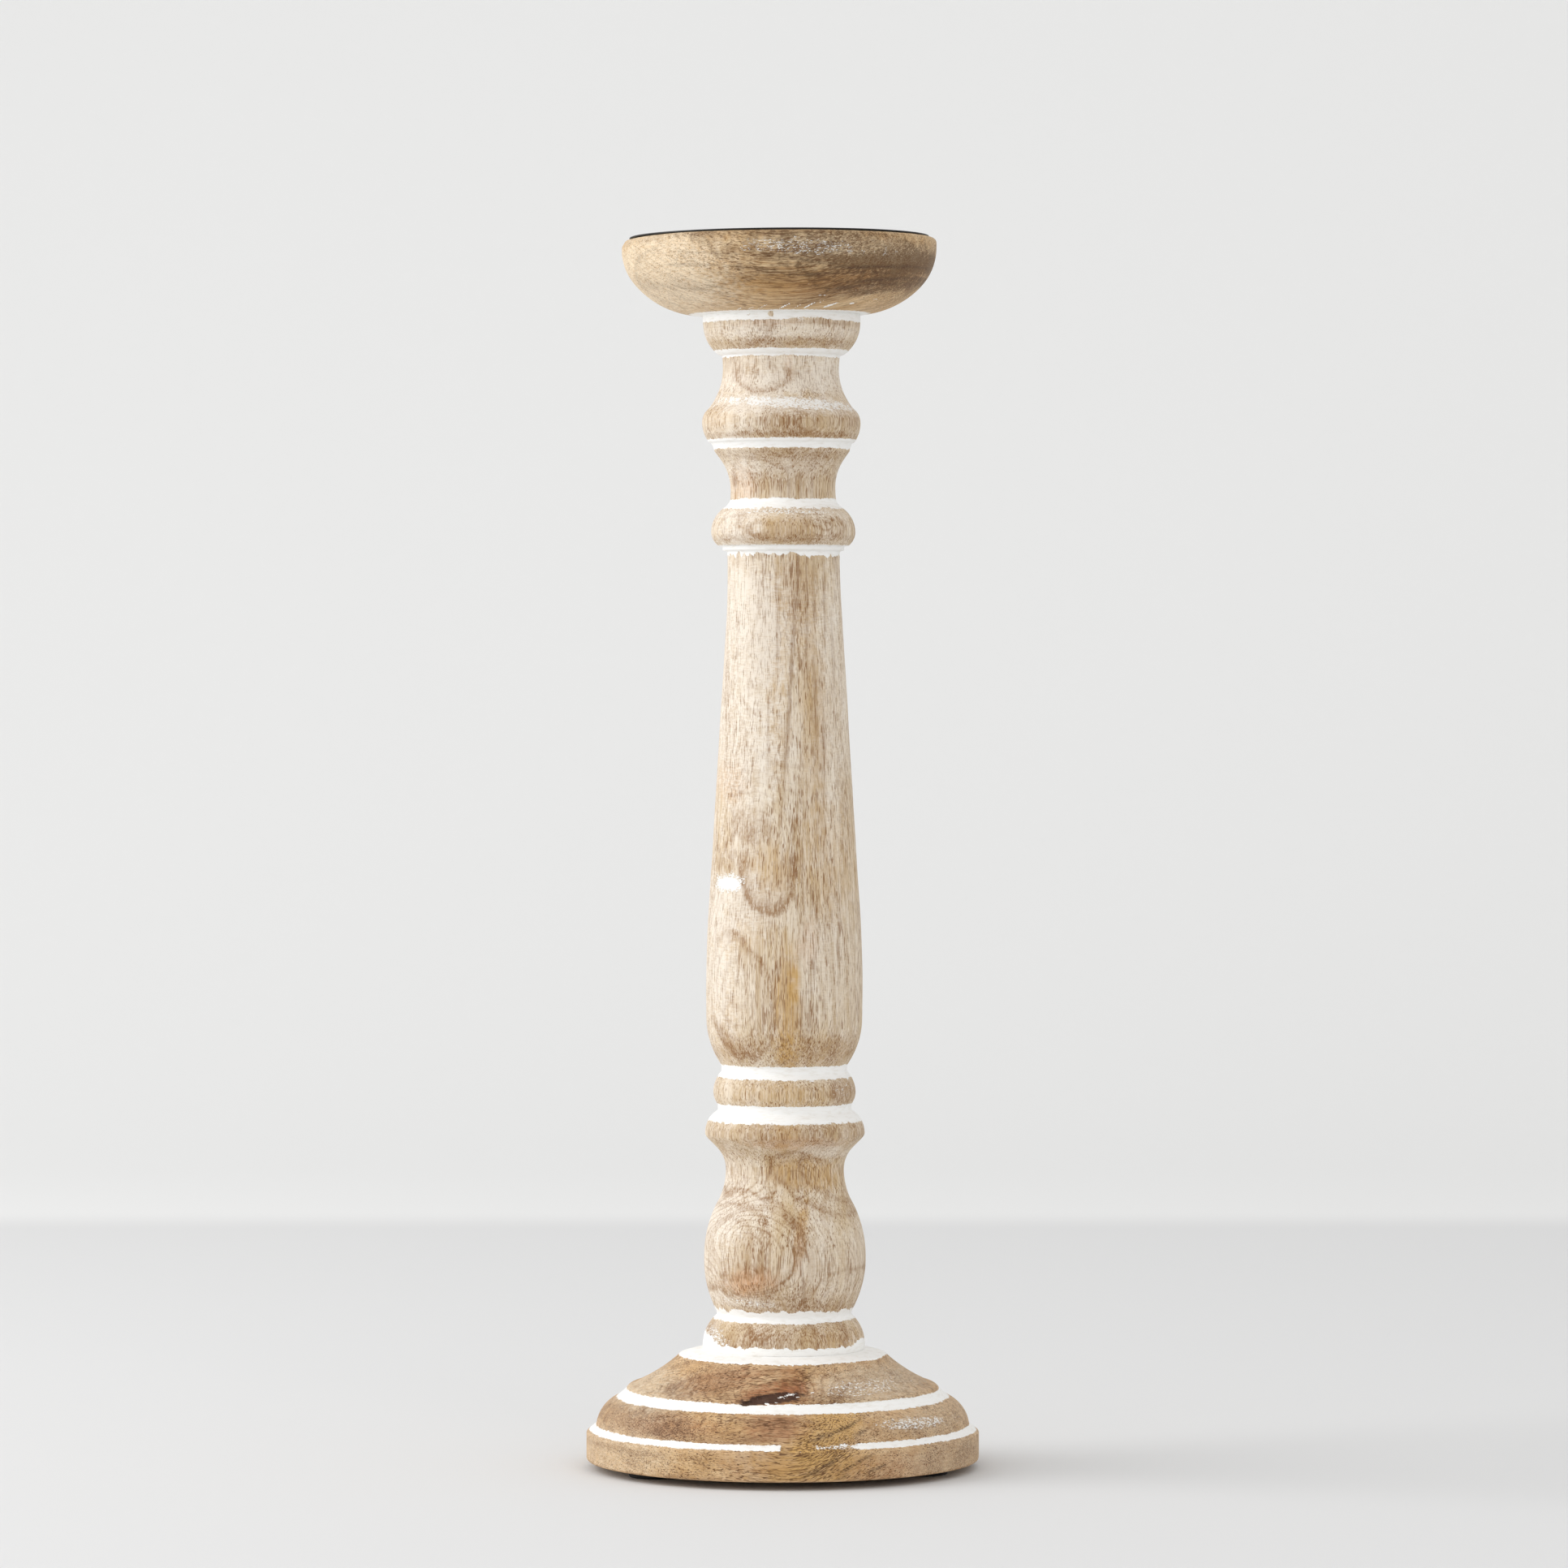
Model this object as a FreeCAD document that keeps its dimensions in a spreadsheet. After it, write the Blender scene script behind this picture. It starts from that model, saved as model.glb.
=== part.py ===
"""Turned mango-wood pillar candlestick, 380 mm tall.

A turned base, a one-piece turned column and a turned dish stand on one axis, joined by round
tenons, glue and a wood screw at each end. A pressed steel wax tray hangs by its lip in the dish
and lifts out, and three soft pads carry the base. Millimetres, +Z up, with the origin on the floor
under the column's axis.
"""
import FreeCAD
import Part
import Sketcher

import math
import os

# Driving dimensions: alias -> (millimetres or degrees, what it is).
DIMENSIONS = {
    # foot pads, stuck on by hand
    "pad_thick": (2.5, "thickness of a foot pad"),
    "pad_radius": (8.0, "radius of a foot pad"),
    "pad_round": (0.6, "rounding of a pad's lower edge"),
    "pad_circle": (46.0, "distance from the axis to a pad's centre"),
    "pad_bearing_1": (212, "direction of the first pad, degrees from +X"),
    "pad_bearing_2": (338, "direction of the second pad"),
    "pad_bearing_3": (92, "direction of the third pad"),
    # base: each height is the rise of one part of its outline
    "base_radius": (60.7, "outer radius of the base"),
    "base_round": (1.0, "rounding of the base's lower edge"),
    "base_edge": (8.7, "upright edge"),
    "shoulder": (2.2, "painted shoulder above the edge"),
    "shoulder_radius": (57.7, "inner end of the shoulder"),
    "torus": (8.6, "half-round moulding"),
    "torus_bend": (10.3, "radius of the moulding's section"),
    "torus_radius": (51.3, "upper end of the moulding"),
    "ring": (2.2, "painted ring above the moulding"),
    "ring_radius": (48.5, "inner end of the ring"),
    "nose": (1.8, "nose of the ogee"),
    "nose_bend": (2.6, "radius of the nose's section"),
    "nose_radius": (46.2, "upper end of the nose"),
    "ogee": (9.4, "hollow of the ogee"),
    "ogee_bend": (50.0, "radius of the hollow's section"),
    "ogee_radius": (31.7, "upper end of the hollow"),
    "brow": (1.0, "slope above the ogee"),
    "brow_radius": (28.0, "upper end of that slope"),
    "crown": (0.2, "last rise to the base's top face"),
    "crown_radius": (26.0, "outer radius of the top face"),
    # joints between base, column and dish
    "column_length": (319.6, "visible length of the column, from base to dish"),
    "tenon_radius": (10.0, "radius of the column's tenons"),
    "glue_gap": (0.15, "radial room for glue round a tenon"),
    "lower_tenon": (16.0, "length of the tenon in the base"),
    "upper_tenon": (6.0, "length of the tenon in the dish"),
    "end_gap": (0.4, "room beyond a tenon's end"),
    "well_radius": (8.0, "radius of the hole for the base screw's head"),
    "well_deep": (8.0, "depth of that hole"),
    # column, upwards from the base: each height is the rise of one turned member
    "base_bead_foot_radius": (24.7, "radius where the lowest bead stands on the base"),
    "base_bead_side": (2.0, "side of the lowest bead"),
    "base_bead_round": (8.8, "rounded part of the lowest bead"),
    "blank_radius": (25.0, "radius of the turned blank, kept by the widest members"),
    "groove_a_radius": (20.7, "radius of the groove under the bulb"),
    "groove_a": (0.9, "that groove"),
    "bulb_lower": (16.2, "bulb, up to its widest point"),
    "bulb_side": (1.0, "upright side of the bulb"),
    "bulb_upper": (15.7, "bulb, from there to where its curve turns hollow"),
    "bulb_turn_radius": (21.4, "radius where the curve turns hollow"),
    "bulb_neck": (11.3, "hollow of the bulb's neck"),
    "bulb_neck_radius": (18.25, "radius of the bulb's neck"),
    "flare": (6.1, "hollow above the neck"),
    "flare_radius": (20.5, "radius at the top of that hollow"),
    "flange_slope": (4.0, "sloped underside of the flange"),
    "flange_slope_radius": (24.3, "radius at the top of that slope"),
    "flange_edge": (1.1, "rounded edge of the flange"),
    "flange_radius": (24.65, "radius of the flange"),
    "flange_top": (6.9, "rounded upper side of the flange"),
    "groove_b_radius": (20.5, "radius of the groove above the flange"),
    "groove_b": (1.8, "that groove"),
    "ring_bead_lower": (3.9, "bead under the shaft, up to its widest point"),
    "ring_bead_radius": (22.0, "radius of that bead"),
    "ring_bead_upper": (6.3, "upper part of that bead"),
    "groove_c_radius": (19.3, "radius of the groove under the shaft"),
    "groove_c": (1.8, "that groove"),
    "shaft_foot": (15.1, "rounded foot of the shaft"),
    "shaft_foot_radius": (24.1, "radius at the top of that rounding"),
    "shaft_side": (7.2, "side of the shaft up to its widest point"),
    "shaft_radius": (24.2, "widest radius of the shaft"),
    "shaft_belly": (29.9, "swelling of the shaft"),
    "shaft_belly_radius": (23.1, "radius at the top of the swelling"),
    # column, downwards from the dish: the shaft's straight taper takes what is left between
    "capital_side": (2.8, "upright side of the capital"),
    "capital_radius": (24.2, "radius of the capital"),
    "capital_round": (9.4, "rounded underside of the capital"),
    "capital_low_radius": (19.4, "radius at the foot of that rounding"),
    "capital_slope": (0.5, "slope under the rounding"),
    "throat_top_radius": (18.05, "radius at the top of the throat"),
    "throat_side": (3.9, "upper side of the throat"),
    "throat_radius": (17.9, "narrowest radius of the throat"),
    "throat": (13.7, "hollow of the throat"),
    "top_bead_edge_radius": (23.6, "radius at the upper edge of the bead below"),
    "top_bead_upper": (3.0, "upper part of the top bead"),
    "top_bead_radius": (24.45, "radius of the top bead"),
    "top_bead_lower": (6.0, "lower part of the top bead"),
    "top_bead_low_radius": (22.4, "radius at the foot of the top bead"),
    "groove_e_step": (0.3, "small step under the top bead"),
    "groove_e_radius": (21.6, "radius at the foot of that step"),
    "groove_e": (1.5, "sloped groove under the step"),
    "waist_edge_radius": (20.9, "radius of the waist's upper edge"),
    "waist_edge": (0.9, "upright edge of the waist"),
    "waist_slope": (2.2, "slope under that edge"),
    "waist_slope_radius": (19.3, "radius at the foot of the slope"),
    "waist_flare": (9.5, "hollow flare of the waist"),
    "waist_radius": (16.15, "narrowest radius of the waist"),
    "waist_side": (3.7, "side of the waist"),
    "waist_low_radius": (16.25, "radius at the foot of that side"),
    "groove_d": (1.6, "slope down to the collar bead"),
    "groove_d_radius": (17.4, "radius at the foot of that slope"),
    "collar_bead_upper": (8.0, "upper part of the collar bead"),
    "collar_bead_radius": (22.25, "radius of the collar bead"),
    "collar_bead_lower": (4.3, "lower part of the collar bead"),
    "collar_bead_low_radius": (19.9, "radius at the foot of the collar bead"),
    "fillet_radius": (18.7, "radius of the fillet under the collar bead"),
    "fillet": (1.3, "that fillet"),
    "fillet_slope": (0.4, "slope under the fillet"),
    "shaft_top_radius": (17.3, "radius at the top of the shaft"),
    "shaft_spring": (21.2, "hollow at the top of the shaft"),
    "shaft_spring_radius": (17.9, "radius at the foot of that hollow"),
    # dish
    "dish_height": (23.3, "height of the dish"),
    "dish_radius": (48.5, "outer radius of the dish"),
    "seat_radius": (24.0, "radius of the dish's level underside"),
    "bowl_low": (9.3, "lower curve of the bowl"),
    "bowl_low_radius": (44.4, "radius where the lower curve meets the side's curve"),
    "bowl_side": (10.9, "curve of the bowl's side"),
    "rim_round": (1.2, "rounding of the rim's outer edge"),
    "recess_radius": (42.6, "radius of the recess at the rim"),
    "recess_floor_radius": (40.4, "radius of the recess's floor"),
    "recess_deep": (10.2, "depth of the recess"),
    "recess_round": (0.5, "rounding of the rim's inner edge"),
    # wax tray
    "lip_radius": (46.2, "outer radius of the tray's lip"),
    "mouth_radius": (41.4, "inside radius of the tray at its lip"),
    "floor_radius": (38.6, "inside radius of the tray's floor"),
    "tray_deep": (9.0, "inside depth of the tray"),
    "sheet_thick": (0.5, "thickness of the sheet metal"),
    "floor_bend": (1.6, "inside bend radius at the floor"),
    "lip_bend": (0.9, "outside bend radius at the lip"),
    "lip_round": (0.2, "rounding of the lip's cut edge"),
    # wood screws
    "screw_play": (0.4, "radial room round a screw's plain shank"),
    "pilot_play": (0.05, "radial room round a thread's root in its pilot hole"),
    "thread_pitch": (2.2, "pitch of the threads"),
    "thread_deep": (0.8, "depth of the threads"),
    "thread_side": (0.5, "half the width of a thread at its root"),
    "thread_count": (13, "number of turns of thread"),
    "point_length": (5.0, "length of a screw's point"),
    "base_screw_radius": (2.9, "radius over the base screw's thread"),
    "base_screw_shank": (25.0, "plain length of the base screw, under its head"),
    "pan_radius": (5.4, "radius of the base screw's pan head"),
    "pan_side": (1.0, "upright side of the pan head"),
    "pan_dome": (2.2, "rise of the pan head's dome"),
    "pan_top_radius": (2.8, "radius of the flat on the dome"),
    "washer_radius": (7.3, "outer radius of the washer"),
    "washer_thick": (1.2, "thickness of the washer"),
    "washer_round": (0.25, "rounding of the washer's outer edges"),
    "dish_screw_radius": (2.5, "radius over the dish screw's thread"),
    "dish_screw_shank": (8.0, "plain length of the dish screw, under its head"),
    "flat_head_radius": (4.7, "radius of the dish screw's flat head"),
    "flat_head_edge": (0.4, "upright edge of the flat head"),
    "flat_head_cone": (2.7, "height of the flat head's cone"),
    "flat_head_play": (0.1, "room round the flat head in its countersink"),
    "cross_length": (5.4, "length of each arm pair of the cross recess"),
    "cross_width": (1.1, "width of the cross recess"),
    "cross_deep": (1.8, "depth of the cross recess"),
}
SHEET = "Dimensions"
SAME_PLACE = 1e-3  # lengths closer than this are the same, mm
LEAST_CUT = 1.0  # a pocket that removes less than this has cut nothing, mm3

doc = FreeCAD.newDocument("candlestick")
sheet = doc.addObject("Spreadsheet::Sheet", SHEET)
for row, (alias, (value, meaning)) in enumerate(DIMENSIONS.items(), start=1):
    sheet.set(f"A{row}", alias)
    sheet.set(f"B{row}", str(value))
    sheet.setAlias(f"B{row}", alias)
    sheet.set(f"C{row}", meaning)
doc.recompute()


def cells(formula):
    """The formula with the sheet's name before each alias, as FreeCAD's expressions need it."""
    return " ".join(f"{SHEET}.{word}" if word in DIMENSIONS else word for word in formula.split())


def number(formula):
    """The formula's value."""
    return float(sheet.evalExpression(cells(formula)))


def plus(*lengths):
    return " + ".join(lengths)


def minus(whole, *lengths):
    return " - ".join((whole,) + lengths)


# Heights of the shared faces above the floor.
FLOOR = "0"
BASE_BOTTOM = "pad_thick"
BASE_OUTLINE = ("base_edge", "shoulder", "torus", "ring", "nose", "ogee", "brow", "crown")
BASE_TOP = plus(BASE_BOTTOM, *BASE_OUTLINE)
COLUMN_TOP = plus(BASE_TOP, "column_length")
DISH_TOP = plus(COLUMN_TOP, "dish_height")
RECESS_FLOOR = minus(DISH_TOP, "recess_deep")
WELL_TOP = plus(BASE_BOTTOM, "well_deep")
WASHER_BOTTOM = minus(WELL_TOP, "washer_thick")
THREAD_LENGTH = "thread_count * thread_pitch"


def new_body(label):
    body = doc.addObject("PartDesign::Body", label)
    body.Label = label
    return body


def new_sketch(body, name, role, lift=None):
    """A sketch on one of the body's origin planes, lifted off it by a formula if one is given."""
    sketch = body.newObject("Sketcher::SketchObject", f"{body.Label}_{name}")
    plane = next(f for f in body.Origin.OriginFeatures if f.Role == role)
    sketch.AttachmentSupport = [(plane, "")]
    sketch.MapMode = "FlatFace"
    if lift:
        sketch.setExpression("AttachmentOffset.Base.z", cells(lift))
    return sketch


def bind(sketch, formula, kind, *places):
    """Adds a dimension to the sketch and ties it to the sheet."""
    index = sketch.addConstraint(Sketcher.Constraint(kind, *places, number(formula)))
    sketch.setExpression(f"Constraints[{index}]", cells(formula))


def arc_centre(start, end, curve):
    """Centre of the arc that runs from start to end the way curve says."""
    across = end - start
    if curve in ("starts_upright", "ends_upright"):
        tangent_point, other = (start, end) if curve == "starts_upright" else (end, start)
        reach = (across.x ** 2 + across.y ** 2) / (2 * (other.x - tangent_point.x))
        return tangent_point + FreeCAD.Vector(reach, 0, 0)
    if curve == "starts_level":
        reach = (across.x ** 2 + across.y ** 2) / (2 * across.y)
        return start + FreeCAD.Vector(0, reach, 0)
    bend, hand = curve
    sagging = math.sqrt(number(bend) ** 2 - across.Length ** 2 / 4)
    left = FreeCAD.Vector(-across.y, across.x, 0).normalize()
    return (start + end) * 0.5 + left * (sagging if hand == "left" else -sagging)


def add_section(sketch, stations):
    """Draws a closed outline in the sketch, all of its points bound to the sheet.

    A station is (radius, height) or (radius, height, curve), where curve is how the outline gets
    there from the station before: "starts_upright", "ends_upright" or "starts_level" for an arc
    with that tangent, or (bend radius, the side its centre is on) for any other arc. A radius of
    None lies on the axis.
    """
    points = [FreeCAD.Vector(number(s[0]) if s[0] else 0, number(s[1]), 0) for s in stations]
    edges = []
    for i, station in enumerate(stations):
        start, end = points[i - 1], points[i]
        curve = station[2] if len(station) > 2 else None
        if curve is None:
            index = sketch.addGeometry(Part.LineSegment(start, end), False)
            edges.append((index, 1, 2))
            continue
        centre = arc_centre(start, end, curve)
        reach = (start - centre).Length
        middle = centre + ((start + end) * 0.5 - centre).normalize() * reach
        index = sketch.addGeometry(Part.Arc(start, middle, end), False)
        # An arc is kept anticlockwise, so this edge may start at the arc's second end.
        backwards = sketch.getPoint(index, 1).distanceToPoint(start) > reach * 1e-6
        edges.append((index, 2, 1) if backwards else (index, 1, 2))
    for i, (station, point) in enumerate(zip(stations, points)):
        index, first, last = edges[i]
        following, following_first, _ = edges[(i + 1) % len(edges)]
        join = Sketcher.Constraint("Coincident", index, last, following, following_first)
        sketch.addConstraint(join)
        if station[0]:
            bind(sketch, station[0], "DistanceX", -1, 1, index, last)
        else:
            sketch.addConstraint(Sketcher.Constraint("PointOnObject", index, last, -2))
        bind(sketch, station[1], "DistanceY", -1, 1, index, last)
        if len(station) < 3:
            continue
        if station[2] in ("starts_upright", "ends_upright"):
            tangent_end = first if station[2] == "starts_upright" else last
            sketch.addConstraint(Sketcher.Constraint("Horizontal", index, 3, index, tangent_end))
        elif station[2] == "starts_level":
            sketch.addConstraint(Sketcher.Constraint("Vertical", index, 3, index, first))
        else:
            bind(sketch, station[2][0], "Radius", index)


def turned(body, name, stations):
    """Revolves an outline in the XZ plane about Z."""
    sketch = new_sketch(body, f"{name}_outline", "XZ_Plane")
    add_section(sketch, stations)
    doc.recompute()
    turning = body.newObject("PartDesign::Revolution", f"{body.Label}_{name}")
    turning.Profile = sketch
    turning.ReferenceAxis = (sketch, ["V_Axis"])
    turning.Angle = 360
    doc.recompute()
    return turning


def climb(start, members, sign=plus):
    """Stations of a stack of turned members, each (rise, radius) or (rise, radius, curve)."""
    stations = []
    height = start
    for rise, *rest in members:
        height = sign(height, rise) if rise else height
        stations.append((rest[0], height, *rest[1:]))
    return stations


def rounded(body, base, name, size, rings):
    """Fillets the circular edges of feature base that have the given (radius, height)."""
    places = [(number(radius), number(height)) for radius, height in rings]
    names = []
    for i, edge in enumerate(base.Shape.Edges, start=1):
        curve = edge.Curve
        if not isinstance(curve, Part.Circle):
            continue
        for radius, height in places:
            off = max(abs(curve.Radius - radius), abs(curve.Center.z - height))
            if off < SAME_PLACE:
                names.append(f"Edge{i}")
    if len(names) < len(places):
        raise ValueError(f"{body.Label}: {len(names)} edges found for {len(places)} roundings")
    fillet = body.newObject("PartDesign::Fillet", f"{body.Label}_{name}")
    fillet.Base = (base, names)
    fillet.setExpression("Radius", cells(size))
    doc.recompute()
    return fillet


def make_foot_pad(which):
    """One soft disc, stuck under the base off the axis."""
    body = new_body(f"foot_pad_{which}")
    bearing = f"pad_bearing_{which}"
    sketch = new_sketch(body, "disc", "XY_Plane")
    turn = math.radians(number(bearing))
    reach = number("pad_circle")
    centre = FreeCAD.Vector(reach * math.cos(turn), reach * math.sin(turn), 0)
    disc = sketch.addGeometry(Part.Circle(centre, FreeCAD.Vector(0, 0, 1), number("pad_radius")), False)
    spoke = sketch.addGeometry(Part.LineSegment(FreeCAD.Vector(0, 0, 0), centre), True)
    sketch.addConstraint(Sketcher.Constraint("Coincident", spoke, 1, -1, 1))
    sketch.addConstraint(Sketcher.Constraint("Coincident", spoke, 2, disc, 3))
    bind(sketch, "pad_radius", "Radius", disc)
    bind(sketch, "pad_circle", "Distance", spoke)
    angle = sketch.addConstraint(Sketcher.Constraint("Angle", -1, 1, spoke, 1, turn))
    sketch.setExpression(f"Constraints[{angle}]", f"{cells(bearing)} * 1 deg")
    doc.recompute()
    pad = body.newObject("PartDesign::Pad", f"{body.Label}_thickness")
    pad.Profile = sketch
    pad.setExpression("Length", cells("pad_thick"))
    doc.recompute()
    rounded(body, pad, "lower_edge", "pad_round", [("pad_radius", FLOOR)])
    return body


def make_base():
    """The wide turned base: a socket for the column above, a well for the screw's head below."""
    body = new_body("base")
    outline = climb(BASE_BOTTOM, [
        (None, "base_radius"),
        ("base_edge", "base_radius"),
        ("shoulder", "shoulder_radius"),
        ("torus", "torus_radius", ("torus_bend", "left")),
        ("ring", "ring_radius"),
        ("nose", "nose_radius", ("nose_bend", "left")),
        ("ogee", "ogee_radius", ("ogee_bend", "right")),
        ("brow", "brow_radius"),
        ("crown", "crown_radius"),
    ])
    socket = plus("tenon_radius", "glue_gap")
    socket_floor = minus(BASE_TOP, "lower_tenon", "end_gap")
    hole = plus("base_screw_radius", "screw_play")
    bore = [
        (socket, BASE_TOP),
        (socket, socket_floor),
        (hole, socket_floor),
        (hole, WELL_TOP),
        ("well_radius", WELL_TOP),
        ("well_radius", BASE_BOTTOM),
    ]
    turning = turned(body, "turning", outline + bore)
    rounded(body, turning, "lower_edge", "base_round", [("base_radius", BASE_BOTTOM)])
    return body


def make_column():
    """The one-piece turned column, with a tenon and a pilot hole at each end."""
    body = new_body("column")
    from_base = climb(BASE_TOP, [
        (None, "base_bead_foot_radius"),
        ("base_bead_side", "blank_radius", "ends_upright"),
        ("base_bead_round", "groove_a_radius", "starts_upright"),
        ("groove_a", "groove_a_radius"),
        ("bulb_lower", "blank_radius", "ends_upright"),
        ("bulb_side", "blank_radius"),
        ("bulb_upper", "bulb_turn_radius", "starts_upright"),
        ("bulb_neck", "bulb_neck_radius", "ends_upright"),
        ("flare", "flare_radius", "starts_upright"),
        ("flange_slope", "flange_slope_radius"),
        ("flange_edge", "flange_radius", "ends_upright"),
        ("flange_top", "groove_b_radius", "starts_upright"),
        ("groove_b", "groove_b_radius"),
        ("ring_bead_lower", "ring_bead_radius", "ends_upright"),
        ("ring_bead_upper", "groove_c_radius", "starts_upright"),
        ("groove_c", "groove_c_radius"),
        ("shaft_foot", "shaft_foot_radius", "ends_upright"),
        ("shaft_side", "shaft_radius"),
        ("shaft_belly", "shaft_belly_radius", "starts_upright"),
    ])
    # Read from the dish downwards, so a curve is named for the way down and then turned round.
    from_dish = climb(COLUMN_TOP, [
        (None, "capital_radius"),
        ("capital_side", "capital_radius"),
        ("capital_round", "capital_low_radius", "starts_upright"),
        ("capital_slope", "throat_top_radius"),
        ("throat_side", "throat_radius"),
        ("throat", "top_bead_edge_radius", "starts_upright"),
        ("top_bead_upper", "top_bead_radius", "ends_upright"),
        ("top_bead_lower", "top_bead_low_radius", "starts_upright"),
        ("groove_e_step", "groove_e_radius"),
        ("groove_e", "waist_edge_radius"),
        ("waist_edge", "waist_edge_radius"),
        ("waist_slope", "waist_slope_radius"),
        ("waist_flare", "waist_radius", "ends_upright"),
        ("waist_side", "waist_low_radius"),
        ("groove_d", "groove_d_radius"),
        ("collar_bead_upper", "collar_bead_radius", "ends_upright"),
        ("collar_bead_lower", "collar_bead_low_radius", "starts_upright"),
        (None, "fillet_radius"),
        ("fillet", "fillet_radius"),
        ("fillet_slope", "shaft_top_radius"),
        ("shaft_spring", "shaft_spring_radius", "starts_upright"),
    ], minus)
    lower_end = minus(BASE_TOP, "lower_tenon")
    upper_end = plus(COLUMN_TOP, "upper_tenon")
    base_pilot = plus(minus("base_screw_radius", "thread_deep"), "pilot_play")
    dish_pilot = plus(minus("dish_screw_radius", "thread_deep"), "pilot_play")
    base_pilot_end = plus(base_screw_tip(), "end_gap")
    dish_pilot_end = minus(dish_screw_tip(), "end_gap")
    upper_tenon = [
        ("tenon_radius", COLUMN_TOP),
        ("tenon_radius", upper_end),
        (dish_pilot, upper_end),
        (dish_pilot, dish_pilot_end),
        (None, dish_pilot_end),
    ]
    lower_tenon = [
        (None, base_pilot_end),
        (base_pilot, base_pilot_end),
        (base_pilot, lower_end),
        ("tenon_radius", lower_end),
        ("tenon_radius", BASE_TOP),
    ]
    turned(body, "turning", from_base + reversed_way(from_dish) + upper_tenon + lower_tenon)
    return body


def reversed_way(stations):
    """The same outline walked from its last station to its first."""
    swapped = {"starts_upright": "ends_upright", "ends_upright": "starts_upright"}
    back = []
    curve = None
    for station in reversed(stations):
        back.append(station[:2] if curve is None else station[:2] + (curve,))
        curve = swapped[station[2]] if len(station) > 2 else None
    return back


def make_dish():
    """The turned dish: socket below, recess for the wax tray above, countersunk screw hole."""
    body = new_body("candle_dish")
    socket = plus("tenon_radius", "glue_gap")
    socket_top = plus(COLUMN_TOP, "upper_tenon", "end_gap")
    hole = plus("dish_screw_radius", "screw_play")
    sink = plus("flat_head_radius", "flat_head_play")
    sink_top = minus(RECESS_FLOOR, "flat_head_edge", "flat_head_play")
    outline = [
        (socket, COLUMN_TOP),
        ("seat_radius", COLUMN_TOP),
        ("bowl_low_radius", plus(COLUMN_TOP, "bowl_low"), "starts_level"),
        ("dish_radius", plus(COLUMN_TOP, "bowl_low", "bowl_side"), "ends_upright"),
        ("dish_radius", DISH_TOP),
        ("recess_radius", DISH_TOP),
        ("recess_floor_radius", RECESS_FLOOR),
        (sink, RECESS_FLOOR),
        (sink, sink_top),
        (hole, minus(sink_top, "flat_head_cone")),
        (hole, socket_top),
        (socket, socket_top),
    ]
    turning = turned(body, "turning", outline)
    rim = rounded(body, turning, "outer_rim", "rim_round", [("dish_radius", DISH_TOP)])
    rounded(body, rim, "inner_rim", "recess_round", [("recess_radius", DISH_TOP)])
    return body


def make_wax_tray():
    """The pressed steel tray: a shallow pan with a level lip that lies on the dish's rim."""
    body = new_body("wax_tray")
    top = plus(DISH_TOP, "sheet_thick")
    floor = minus(top, "tray_deep")
    under = minus(floor, "sheet_thick")
    outer_floor = plus("floor_radius", "sheet_thick")
    outer_mouth = plus("mouth_radius", "sheet_thick")
    turning = turned(body, "pressing", [
        (None, under),
        (outer_floor, under),
        (outer_mouth, DISH_TOP),
        ("lip_radius", DISH_TOP),
        ("lip_radius", top),
        ("mouth_radius", top),
        ("floor_radius", floor),
        (None, floor),
    ])
    lip_edges = [("lip_radius", top), ("lip_radius", DISH_TOP)]
    outer_floor_bend = plus("floor_bend", "sheet_thick")
    inner_lip_bend = minus("lip_bend", "sheet_thick")
    last = rounded(body, turning, "floor_inside", "floor_bend", [("floor_radius", floor)])
    last = rounded(body, last, "floor_outside", outer_floor_bend, [(outer_floor, under)])
    last = rounded(body, last, "lip_outside", "lip_bend", [("mouth_radius", top)])
    last = rounded(body, last, "lip_inside", inner_lip_bend, [(outer_mouth, DISH_TOP)])
    rounded(body, last, "lip_edges", "lip_round", lip_edges)
    return body


def base_screw_tip():
    return plus(WELL_TOP, "base_screw_shank", THREAD_LENGTH, "point_length")


def dish_screw_tip():
    cone_end = minus(RECESS_FLOOR, "flat_head_edge", "flat_head_cone")
    return minus(cone_end, "dish_screw_shank", THREAD_LENGTH, "point_length")


def add_thread(body, root, first, way):
    """Ridges round the shank, one per turn: the first one at height first, the rest along way."""
    crest = plus(root, "thread_deep")
    ridge = turned(body, "thread", [
        (minus(root, "thread_deep"), minus(first, "thread_side")),
        (root, minus(first, "thread_side")),
        (crest, first),
        (root, plus(first, "thread_side")),
        (minus(root, "thread_deep"), plus(first, "thread_side")),
    ])
    pattern = body.newObject("PartDesign::LinearPattern", f"{body.Label}_turns")
    pattern.Originals = [ridge]
    axis = next(f for f in body.Origin.OriginFeatures if f.Role == "Z_Axis")
    pattern.Direction = (axis, [""])
    pattern.Reversed = way == "down"
    pattern.setExpression("Length", cells("( thread_count - 1 ) * thread_pitch"))
    pattern.setExpression("Occurrences", cells("thread_count"))
    body.Tip = pattern
    doc.recompute()
    return pattern


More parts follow.
